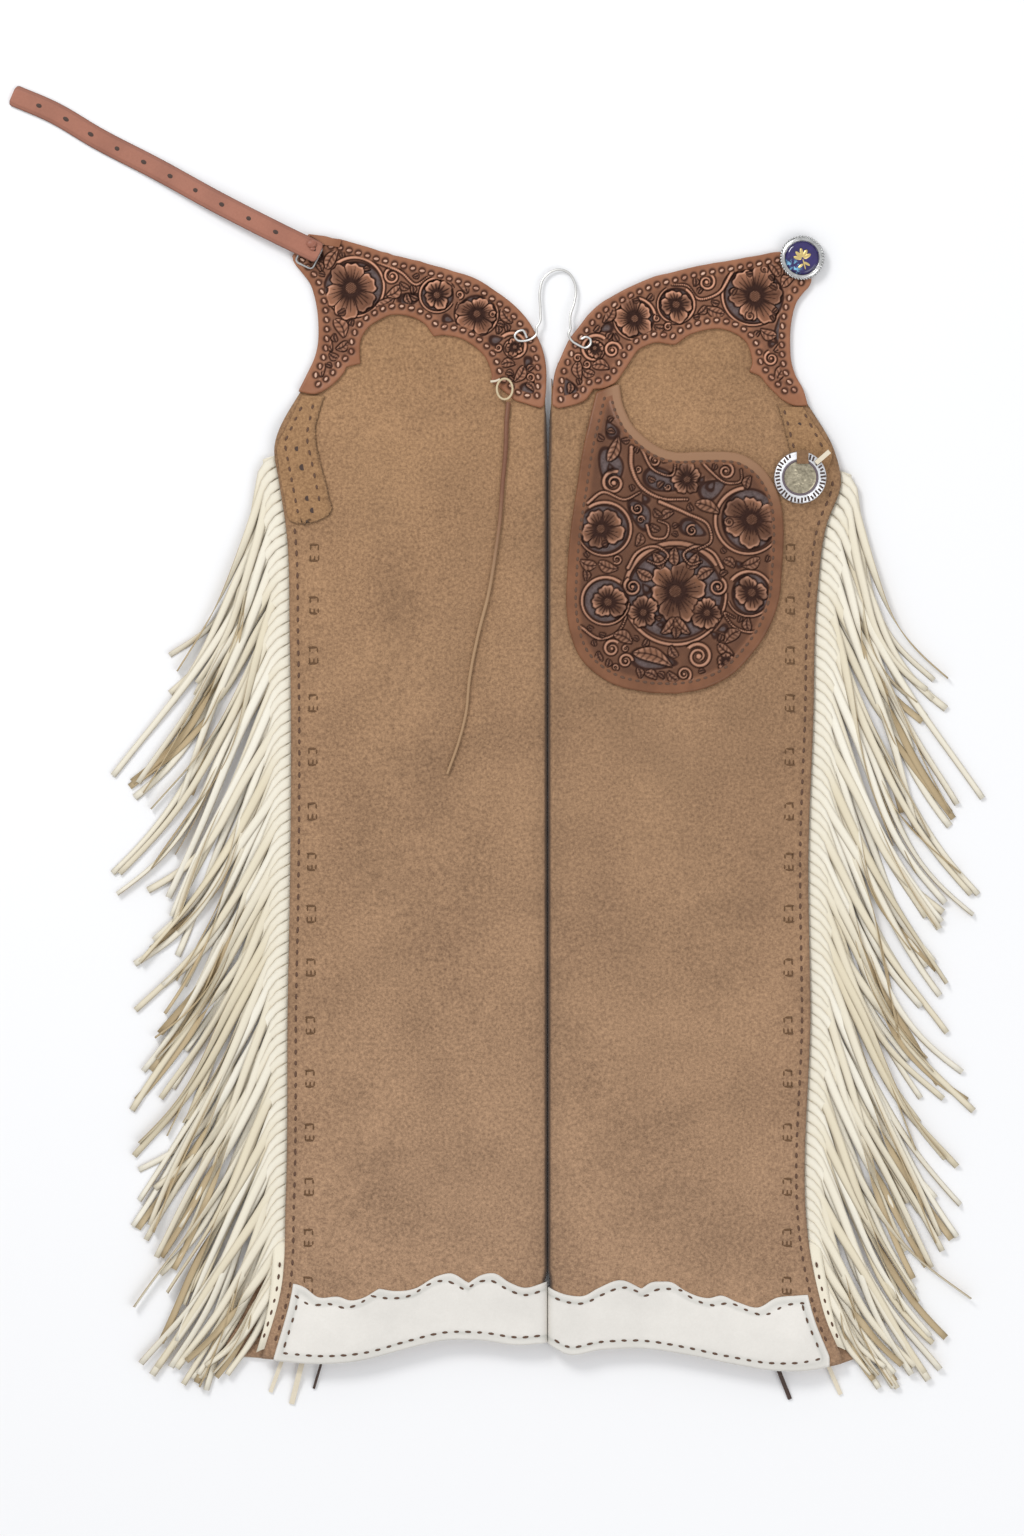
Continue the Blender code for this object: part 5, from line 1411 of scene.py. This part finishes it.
def strand_strip(leg, fringe, share, layer, number):
    """A strand as a strip of points side by side, on a line that leaves the seam and falls to the floor."""
    y = fringe.top + (LOWEST_ROOT - fringe.top) * share
    x = float(leg.outer(y)) + leg.toward * 2.0
    bundle = math.floor(number * 0.23 + 0.35 * uneven(number, 8))
    part = 0.95 + 0.13 * uneven(bundle, 77) + 0.08 * uneven(number, 3 + layer) - 0.12 * (layer == 0)
    length = min(STRAND_LENGTH * part, (y - TRIM_LINE) / 0.86 + 11)
    waist = float(smooth(1 - share * 9))
    hem = float(smooth((share - 0.85) / 0.15))
    fall = fringe.fall + 9 * waist + fringe.sway * math.sin(0.16 * number + 2.1 * layer)
    fall += 4 * uneven(number, layer + 11) - 9 * hem
    flick = -11 + 13 * uneven(bundle, 5 + leg.toward) + 8 * uneven(number, 6) - 24 * waist
    over_back = FLARE_TOP + FLARE_REACH > y
    floor = SUEDE + float(leg.rise(y - FLARE_STEP)) if over_back else 0.0
    root_z = STRIP_FLOOR + float(leg.rise(y)) + 3.2 - 1.2 * (layer == 0)
    roll_end = 24 * uneven(number, 21) + (75 if uneven(number, 31) > 0.55 else 0) * (1 if number % 2 else -1)
    turn_over = 180.0 if uneven(number, 41) > 0.62 else 0.0
    rows = []
    steps = STRAND_POINTS - 1
    for step in range(STRAND_POINTS):
        t = step / steps
        heading = fringe.start + (fall - fringe.start) * float(smooth(10 * t + 0.14))
        wave = 3.5 * math.sin(7 * t + number) * float(smooth(3 * t))
        heading += flick * float(smooth((t - 0.45) / 0.5)) + wave
        angle = math.radians(heading)
        away = Vector((-leg.toward * math.cos(angle), -math.sin(angle), 0))
        across = Vector((leg.toward * away.y, -leg.toward * away.x, 0))
        turned_by = turn_over * float(smooth((t - 0.35) / 0.4)) + roll_end * float(smooth((t - 0.2) / 0.6))
        roll = math.radians(11 + turned_by)
        wide = STRAND_ROOT + (STRAND_TIP + 0.8 * uneven(number, 51) - STRAND_ROOT) * float(smooth(1.1 * t))
        wide += 1.5 * (1 - float(smooth(7 * t)))
        rest = floor + STRAND_CLEAR + layer * (0.5 + 1.3 * math.sin(math.pi * min(1.0, 0.15 + t)))
        z = root_z + (rest + abs(math.sin(roll)) * wide / 2 - root_z) * float(smooth(2.4 * t))
        row = []
        for side in (-1, -0.5, 0, 0.5, 1):
            out = across * (side * math.cos(roll)) + Vector((0, 0, side * math.sin(roll)))
            curl = 0.5 * (1 - side * side) * math.cos(roll) * (0.3 + float(smooth(2 * t)))
            row.append(Vector((x, y, z + curl)) + out * (wide / 2))
        rows.append(row)
        x += away.x * length / steps
        y += away.y * length / steps
    return np.array(rows).transpose(1, 0, 2)


def band_lift(y):
    """How far the fringe's strip is raised over the strands at its lower end."""
    return 4.6 * smooth((-422 - y) / 16.0)


def make_fringe(leg, fringe, skins):
    """Every strand is a thin strip that leaves the seam nearly square to it and then falls to the floor."""
    strips = []
    for number in range(STRANDS):
        share = (number + 0.5) / STRANDS
        strips.append(strand_strip(leg, fringe, share, 1 + number % 3, number))
        if number % 3 == 1:
            strips.append(strand_strip(leg, fringe, share, 0, number + 100))
    share = np.linspace(0, 1, 40)
    y = fringe.top + (fringe.foot - fringe.top) * share
    root = leg.outer(y)
    z = STRIP_FLOOR + leg.rise(y) + 2.1
    lift = band_lift(y)
    narrow = 1 - 0.3 * smooth((-440 - y) / 60.0)
    band = []
    for reach, lower, raised in BAND_LINES:
        x = root + leg.toward * reach * narrow
        band.append(np.column_stack([x, y - max(0, -reach) * 0.35, z - lower + lift * raised]))
    bm = bmesh.new()
    bmesh.ops.create_grid(bm, x_segments=len(y) - 1, y_segments=len(band) - 1, size=1)
    for _ in strips:
        bmesh.ops.create_grid(bm, x_segments=STRAND_POINTS - 1, y_segments=4, size=1)
    mesh = bpy.data.meshes.new("fringe_strands_" + leg.name)
    bm.to_mesh(mesh)
    bm.free()
    spots = np.vstack([np.array(band).reshape(-1, 3), np.array(strips).reshape(-1, 3)])
    mesh.vertices.foreach_set("co", spots.ravel())
    shades = [np.zeros(len(y) * len(band))]
    away = smooth(np.tile(np.linspace(0, 1, STRAND_POINTS), 5) * 5)
    shades += [0.55 * (1 - away) + uneven(k, 61) * away for k in range(len(strips))]
    mesh.attributes.new("shade", "FLOAT", "POINT").data.foreach_set("value", np.concatenate(shades))
    # Painted shade along each strand's edges, where the strands lie in each other's shadow, and a little
    # darker towards the tips.
    wear_and_shade = np.repeat((0.5, 0.08, 0.0, 0.0, 0.25), STRAND_POINTS)
    wear_and_shade = wear_and_shade + 0.08 * np.tile(np.linspace(0, 1, STRAND_POINTS) ** 1.5, 5)
    stain_and_shade = np.concatenate([np.zeros(len(y) * len(band)), np.tile(wear_and_shade, len(strips))])
    mesh.attributes.new("stain_and_shade", "FLOAT", "POINT").data.foreach_set("value", stain_and_shade)
    mesh.update()
    if mesh.polygons[len(y) * 4 + 3].normal.z < 0:
        mesh.flip_normals()
    strands = place_piece(mesh.name, mesh, skins, ["fringe_" + leg.name])
    solid = thicken(strands, STRAND_THICK, 1, 1)
    solid.offset = 0
    solid.use_even_offset = False
    return strands


def make_strap(skins):
    """The waist strap runs out from the left yoke's corner, raised there and down to the surface."""
    line = through_spots(STRAP_LINE, 300)
    way = np.gradient(line, axis=0)
    way /= np.linalg.norm(way, axis=1)[:, None]
    across = np.stack([-way[:, 1], way[:, 0]], axis=1)
    share = np.linspace(0, 1, 300)
    z = STRAP_END_HEIGHT * smooth((share - 0.3) / 0.62) + STRAP_THICK
    sides = np.linspace(-1, 1, 31)[:, None]
    near_end = np.clip(1 - np.minimum(share, 1 - share) * 300 / STRAP_CORNER, 0, 1)
    half = STRAP_WIDTH / 2 - STRAP_CORNER * (1 - np.sqrt(1 - near_end ** 2))
    x = line[:, 0] + sides * across[:, 0] * half
    y = line[:, 1] + sides * across[:, 1] * half
    edge = half * (1 - np.abs(sides))
    top = z - 0.9 * np.exp(-edge / 0.8) - 0.25 * np.exp(-((edge - 2.4) / 0.5) ** 2)
    stain_and_shade = 0.75 * np.exp(-edge / 1.1) + 0.22 * np.exp(-((edge - 2.4) / 0.6) ** 2)
    stain_and_shade = stain_and_shade + 0.12 * np.clip(soft_noise(x, y, 40.0, 13), 0, 1)
    mesh = grid_mesh("strap_skin", np.dstack([x, y, top]), {"stain_and_shade": np.clip(stain_and_shade, 0, 1)})
    strap = place_piece(mesh.name, mesh, skins[:1], ["waist_strap"])
    thicken(strap, STRAP_THICK)
    along = np.concatenate([[0.0], np.cumsum(np.linalg.norm(np.diff(line, axis=0), axis=1))])
    holes = []
    for k in range(HOLE_COUNT):
        here = np.searchsorted(along, FIRST_HOLE + k * HOLE_PITCH)
        holes.append((line[here, 0], line[here, 1], math.atan2(way[here, 1], way[here, 0]), z[here] - 0.05))
    # Dark ovals stand for the strap's punched holes: painted shade where the holes are.
    hole = (HOLE_LENGTH + 0.6, HOLE_WIDTH + 0.5, 0.5)
    add_marks("strap_holes", holes, hole, skins[1:2], 6, 16)
    x, y = KEEPER_CENTRE
    heading = math.atan2(way[-10, 1], way[-10, 0])
    bm = bmesh.new()
    for size, aside, high in (((8.6, 6.6, 3.4), 0.0, 1.2), ((5.0, 3.2, 2.2), 4.2, 0.6)):
        spot = (x + aside * math.cos(heading - 0.9), y + aside * math.sin(heading - 0.9), z[-12] + high)
        place = standing(spot, heading + 0.5, [across / 2 for across in size])
        bmesh.ops.create_uvsphere(bm, u_segments=20, v_segments=12, radius=1, matrix=place)
    add_piece("strap_loop", bm, skins[2:3], ["strap_keeper"])
    # A dark mark stands for the keeper's slit: painted shade.
    add_marks("strap_slit", [(x + 2.2, y - 2.6, heading - 0.9, z[-12] + 0.05)], (7.5, 2.6, 0.6), skins[1:2],
              6, 16)
    return strap


def make_tube(name, places, across, skins, nodes, closed=False, widths=None):
    curve = bpy.data.curves.new(name, "CURVE")
    curve.dimensions = "3D"
    curve.bevel_depth = across / 2 * MM
    curve.bevel_resolution = 5
    curve.use_fill_caps = not closed
    spline = curve.splines.new("POLY")
    spline.points.add(len(places) - 1)
    for point, place in zip(spline.points, places):
        point.co = (place[0] * MM, place[1] * MM, place[2] * MM, 1)
    if widths is not None:
        spline.points.foreach_set("radius", widths)
    spline.use_cyclic_u = closed
    for found in skins:
        curve.materials.append(found)
    return show_piece(name, curve, nodes)


def lace_places():
    line = through_spots(LACE_ROUTE, 120)
    z = LEFT.height(line[:, 0], line[:, 1]) + LACE / 2 + LAY_GAP + 0.2
    return np.column_stack([line, z])


def make_lace(skins):
    places = lace_places()
    widths = 1.36 - 0.6 * np.linspace(0, 1, len(places)) ** 0.8
    lace = make_tube("lace", places, LACE, skins, ["front_lace"], False, widths)
    return lace


def turned(bm, centre, floor, profile, segments=96):
    """A closed ring or disc turned about a vertical axis through its centre. Profile is radius and height."""
    points = [bm.verts.new((centre.x + r, centre.y, floor + h)) for r, h in profile]
    pairs = list(zip(points, points[1:])) + ([] if profile[0][0] == 0 else [(points[-1], points[0])])
    edges = [bm.edges.new(pair) for pair in pairs]
    bmesh.ops.spin(bm, geom=points + edges, cent=(centre.x, centre.y, 0), axis=(0, 0, 1), angle=2 * math.pi,
                   steps=segments, use_merge=True)
    bmesh.ops.remove_doubles(bm, verts=bm.verts, dist=1e-4)
    bmesh.ops.recalc_face_normals(bm, faces=bm.faces)


def petal(bm, x, y, z, long, wide, heading, high=0.7):
    """A flat rounded petal that starts at a spot and runs out along its heading."""
    middle = (x + long / 2 * math.cos(heading), y + long / 2 * math.sin(heading), z)
    place = standing(middle, heading, (long / 2, wide / 2, high / 2))
    bmesh.ops.create_uvsphere(bm, u_segments=14, v_segments=6, radius=1, matrix=place)


def make_enamel_concho(silver, gold, enamel):
    """A silver rope rim about an enamelled disc with a plain gold sprig of leaves."""
    centre, rim, disc = ENAMEL_CENTRE, ENAMEL_ACROSS / 2, ENAMEL_DISC / 2
    bm = bmesh.new()
    turned(bm, centre, YOKE_TOP, ((rim - 0.7, 0), (rim - 0.7, 1.5), (rim - 1.8, 2.5), (disc + 1.8, 2.7),
                                  (disc + 0.9, 3.1), (disc + 0.3, 2.2), (disc + 0.3, 0)))
    for k in range(ROPE_BEADS):
        angle = 2 * math.pi * k / ROPE_BEADS
        out = rim - 1.1
        spot = (centre.x + out * math.cos(angle), centre.y + out * math.sin(angle), YOKE_TOP + 1.9)
        place = standing(spot, angle + 0.9, (1.55, 0.95, 1.15))
        bmesh.ops.create_uvsphere(bm, u_segments=10, v_segments=6, radius=1, matrix=place)
    add_piece("concho_rope_rim", bm, [silver], ["concho_rim"])
    bm = bmesh.new()
    turned(bm, centre, YOKE_TOP, ((0, 0), (disc, 0), (disc, 1.8), (disc * 0.8, 2.3), (disc * 0.4, 2.7),
                                  (0, 2.9)))
    add_piece("concho_disc", bm, [enamel], ["concho_enamel"])
    bm = bmesh.new()
    top = YOKE_TOP + 2.75
    for k in range(5):
        angle = math.radians(100 + 34 * (k - 2))
        petal(bm, centre.x + 0.5, centre.y - 1.0, top - 0.1, 9.6 - abs(k - 2) * 0.7, 3.5, angle)
    petal(bm, centre.x + 0.5, centre.y - 0.5, top, 10.0, 1.3, math.radians(-76))
    petal(bm, centre.x + 1.0, centre.y - 3.5, top - 0.1, 6.5, 2.4, math.radians(-28))
    petal(bm, centre.x + 1.0, centre.y - 5.0, top - 0.15, 5.8, 2.2, math.radians(-140))
    add_piece("concho_sprig", bm, [gold], None)


def make_slotted_concho(silver, pewter, dark, seat):
    """A silver ring with a ring of plain notches about a rubbed disc that shows only a vague relief."""
    centre, rim, coin = SLOTTED_CENTRE, SLOTTED_ACROSS / 2, COIN_ACROSS / 2
    bm = bmesh.new()
    turned(bm, centre, SLOTTED_FLOOR, (
        (rim, 0), (rim, 1.1), (rim - 0.8, 1.9), (rim - 2.0, 2.3), (coin + 2.0, 2.3), (coin + 1.2, 2.7),
        (coin + 0.5, 2.2), (coin + 0.3, 1.4), (coin + 0.3, 0)))
    add_piece("slotted_rim", bm, [silver], ["slotted_ring"])
    bm = bmesh.new()
    for k in range(NOTCHES):
        angle = math.radians(112 + 316 * (k + 0.5) / NOTCHES)
        radius = (rim + coin) / 2 + 1.1 + 0.5 * uneven(k, 91)
        spot = (centre.x + radius * math.cos(angle), centre.y + radius * math.sin(angle), SLOTTED_FLOOR + 2.3)
        place = standing(spot, angle + 0.3 * uneven(k, 92), (3.9 + uneven(k, 93), 1.6, 0.6))
        bmesh.ops.create_cube(bm, size=1, matrix=place)
    add_piece("slotted_notches", bm, [dark], None, False)
    bm = bmesh.new()
    turned(bm, centre, SLOTTED_FLOOR, (
        (coin + 1.1, 1.6), (coin + 1.0, 2.75), (coin - 0.1, 2.9), (coin - 0.9, 2.3), (coin - 0.9, 1.6)))
    add_piece("coin_seat", bm, [seat], None)
    share = np.linspace(0, 1, 40)[:, None]
    angle = np.linspace(0, 2 * math.pi, 121)
    x, y = share * coin * np.cos(angle), share * coin * np.sin(angle)
    wear_and_shade = 0.5 * np.exp(-((np.hypot(x - 1, (y + 1) * 0.8) - 4.5) / 1.6) ** 2)
    wear_and_shade = wear_and_shade + 0.45 * np.exp(-(np.hypot(x + 3, y - 4) / 2.4) ** 2)
    wear_and_shade = wear_and_shade + 0.22 * soft_noise(x, y, 5.0, 7) * (share < 0.85)
    lip = 0.35 * np.exp(-((share * coin - coin + 1.1) / 0.6) ** 2)
    z = SLOTTED_FLOOR + 1.75 + wear_and_shade + lip - 1.2 * smooth((share - 0.965) / 0.035)
    mesh = grid_mesh("slotted_disc", np.dstack([centre.x + x, centre.y + y, z + 0 * x]))
    place_piece("slotted_disc", mesh, [pewter], ["slotted_coin"])


def dress_nodes(frame, skins):
    """Gives the solids that stay shown their finishes."""
    for name, found in skins.items():
        mesh = frame["nodes"][name].data
        mesh.materials.clear()
        mesh.materials.append(found)


def make_floor():
    bm = bmesh.new()
    bmesh.ops.create_grid(bm, x_segments=1, y_segments=1, size=6.0)
    mesh = bpy.data.meshes.new("floor")
    bm.to_mesh(mesh)
    bm.free()
    floor = bpy.data.objects.new("floor", mesh)
    mesh.materials.append(plain_material("floor_white", (0.86, 0.86, 0.865), 0.9))
    bpy.context.scene.collection.objects.link(floor)


def add_area(name, place, aim, size, power, colour=(1, 1, 1)):
    data = bpy.data.lights.new(name, "AREA")
    data.shape = "DISK"
    data.size = size
    data.energy = power
    data.color = colour
    lamp = bpy.data.objects.new(name, data)
    lamp.location = place
    lamp.rotation_euler = (Vector(aim) - Vector(place)).to_track_quat("-Z", "Y").to_euler()
    bpy.context.scene.collection.objects.link(lamp)


def make_light():
    add_area("key", (-1.6, 2.2, 2.6), (0, 0, 0), 1.3, 60)
    add_area("fill", (1.8, -1.4, 2.8), (0, 0, 0), 2.4, 26)
    world = bpy.data.worlds.new("studio")
    world.use_nodes = True
    world.node_tree.nodes["Background"].inputs["Color"].default_value = (0.97, 0.98, 1.0, 1)
    world.node_tree.nodes["Background"].inputs["Strength"].default_value = 0.75
    bpy.context.scene.world = world
    bpy.context.scene.view_settings.view_transform = "Standard"


def make_camera():
    data = bpy.data.cameras.new("camera")
    data.sensor_width = SENSOR
    data.lens = SENSOR * CAMERA_HEIGHT / FRAME_HEIGHT
    data.clip_end = 50
    camera = bpy.data.objects.new("camera", data)
    camera.location = (CAMERA_MIDDLE.x * MM, CAMERA_MIDDLE.y * MM, CAMERA_HEIGHT * MM)
    bpy.context.scene.collection.objects.link(camera)
    bpy.context.scene.camera = camera


def make_all():
    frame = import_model()
    group = grain_group()
    suede = suede_leather(group)
    yoke = tooled_leather("tooled_leather", group, (0.24, 0.094, 0.045), (0.335, 0.145, 0.076))
    carved = tooled_leather("pocket_leather", group, (0.150, 0.061, 0.028), (0.225, 0.094, 0.044),
                            (0.31, 0.172, 0.096))
    # The cuff's grey stain_and_shade colour is painted shade along its stitch line.
    pale = leather("cuff_leather", group, (0.67, 0.64, 0.59), (0.76, 0.73, 0.68), 0.6, 0.4, 1.2, 0.08, 0.0,
                   (0.42, 0.42, 0.38))
    cream = fringe_leather(group, "fringe_top", (0.87, 0.83, 0.72), (0.72, 0.64, 0.47))
    tan = fringe_leather(group, "fringe_underside", (0.60, 0.48, 0.30), (0.47, 0.36, 0.21))
    strap = leather("strap_leather", group, (0.27, 0.098, 0.058), (0.39, 0.155, 0.098), 0.5, 0.35, 1.3,
                    0.1, 0.0, (0.12, 0.04, 0.025))
    keeper = leather("keeper_leather", group, (0.22, 0.075, 0.045), (0.34, 0.125, 0.078), 0.45, 0.35, 1.3,
                     0.1)
    tab = leather("tab_leather", group, (0.165, 0.083, 0.034), (0.455, 0.26, 0.123), 0.93, 0.8, 1.0,
                  0.35, 0.1, (0.05, 0.024, 0.011))
    strip = leather("strip_leather", group, (0.12, 0.06, 0.028), (0.30, 0.17, 0.085), 0.9, 0.7, 1.0, 0.3)
    lace = leather("lace_leather", group, (0.13, 0.05, 0.024), (0.23, 0.098, 0.052), 0.6, 0.5, 1.2,
                   0.1, 0.0, None, (0.36, 0.22, 0.115))
    thong = leather("pale_thong", group, (0.62, 0.54, 0.40), (0.74, 0.67, 0.54), 0.7, 0.4, 1.2, 0.1)
    ring_thong = leather("ring_thong", group, (0.50, 0.39, 0.23), (0.66, 0.55, 0.37), 0.6, 0.4, 1.2, 0.1)
    # Dark leather for the dark hem thongs and the concho's notches, and painted shade standing for the holes
    # and the strap's slit.
    dark = leather("dark_thong", group, (0.035, 0.016, 0.01), (0.06, 0.03, 0.02), 0.6, 0.4, 1.2, 0.1)
    thread = leather("stitch_thread", group, (0.075, 0.034, 0.018), (0.13, 0.065, 0.036), 0.7, 0.4, 2.0, 0.05)
    pressed = leather("pressed_suede", group, (0.10, 0.05, 0.02), (0.16, 0.085, 0.04), 0.95, 0.6, 1.0, 0.2)
    silver = metal("silver", (0.66, 0.66, 0.65), 0.18, 0.6)
    wire = metal("wire", (0.78, 0.77, 0.74), 0.32, 0.9)
    bright = metal("ring_silver", (0.86, 0.86, 0.88), 0.34, 0.85)
    pewter = metal("pewter", (0.46, 0.41, 0.30), 0.45, 0.5)
    seat = leather("coin_seat", group, (0.10, 0.07, 0.085), (0.17, 0.13, 0.15), 0.5, 0.4, 1.5, 0.1)
    bead = bead_painted_light()
    gold = metal("gold_leaf", (0.86, 0.66, 0.28), 0.25, 0.75)
    enamel = enamel_glass()
    for leg in (LEFT, RIGHT):
        make_leg(leg, [suede])
        make_cuff(leg, [pale])
    plates = (
        ("yoke_left", LEFT, LEFT_YOKE, 0.6, LAY_GAP, 0.0, draw_left_yoke, yoke),
        ("yoke_right", RIGHT, RIGHT_YOKE, 0.6, LAY_GAP, 0.0, draw_right_yoke, yoke),
        ("pocket", RIGHT, POCKET, 0.72, POCKET_GAP, POCKET_BULGE, draw_pocket, carved),
    )
    for node, leg, sections, spacing, gap, bulge, draw, skin in plates:
        row, top = make_plate(node + "_skin", leg, sections, spacing, gap, bulge, draw, [skin],
                              node)
        marks = [(spot[0], spot[1], math.atan2(way[1], way[0]), top(spot[0], spot[1])) for spot, way in row]
        if node == "pocket":
            add_marks("pocket_stitches", [(x, y, turn, z - 0.1) for x, y, turn, z in marks], (4.6, 2.6, 1.1),
                      [thread])
        else:
            add_marks(node + "_beads", [(x, y, turn, z - 0.25) for x, y, turn, z in marks], (4.7, 2.9, 2.2),
                      [bead], 8, 12, 0.35)
    make_tab(LEFT, LEFT_TAB, [tab])
    make_tab(RIGHT, RIGHT_TAB, [tab])
    make_stitching(thread, dark, pressed)
    make_fringe(LEFT, LEFT_FRINGE, [cream, tan])
    make_fringe(RIGHT, RIGHT_FRINGE, [cream, tan])
    make_strap([strap, dark, keeper])
    make_tube("hook", through_spots(WIRE_ROUTE, 300), WIRE, [wire], ["wire_hook"])
    make_lace([lace])
    tail = through_spots([(-8.5, 310.2, 9.6), (-11.6, 309.0, 9.4), (-16.5, 308.4, 9.0)], 12)
    make_tube("lace_ring_tail", tail, 2.0, [thong], None)
    make_enamel_concho(silver, gold, enamel)
    make_slotted_concho(bright, pewter, dark, seat)
    dress_nodes(frame, {
        "concho_strip": strip, "concho_lace_end": thong,
        "corner_tab": yoke, "hem_thong_1": thong, "hem_thong_2": thong, "hem_thong_3": dark,
        "hem_thong_4": dark, "hem_thong_5": thong, "lace_ring": ring_thong,
        "strap_ring": silver,
    })
    make_floor()
    make_light()
    make_camera()


make_all()
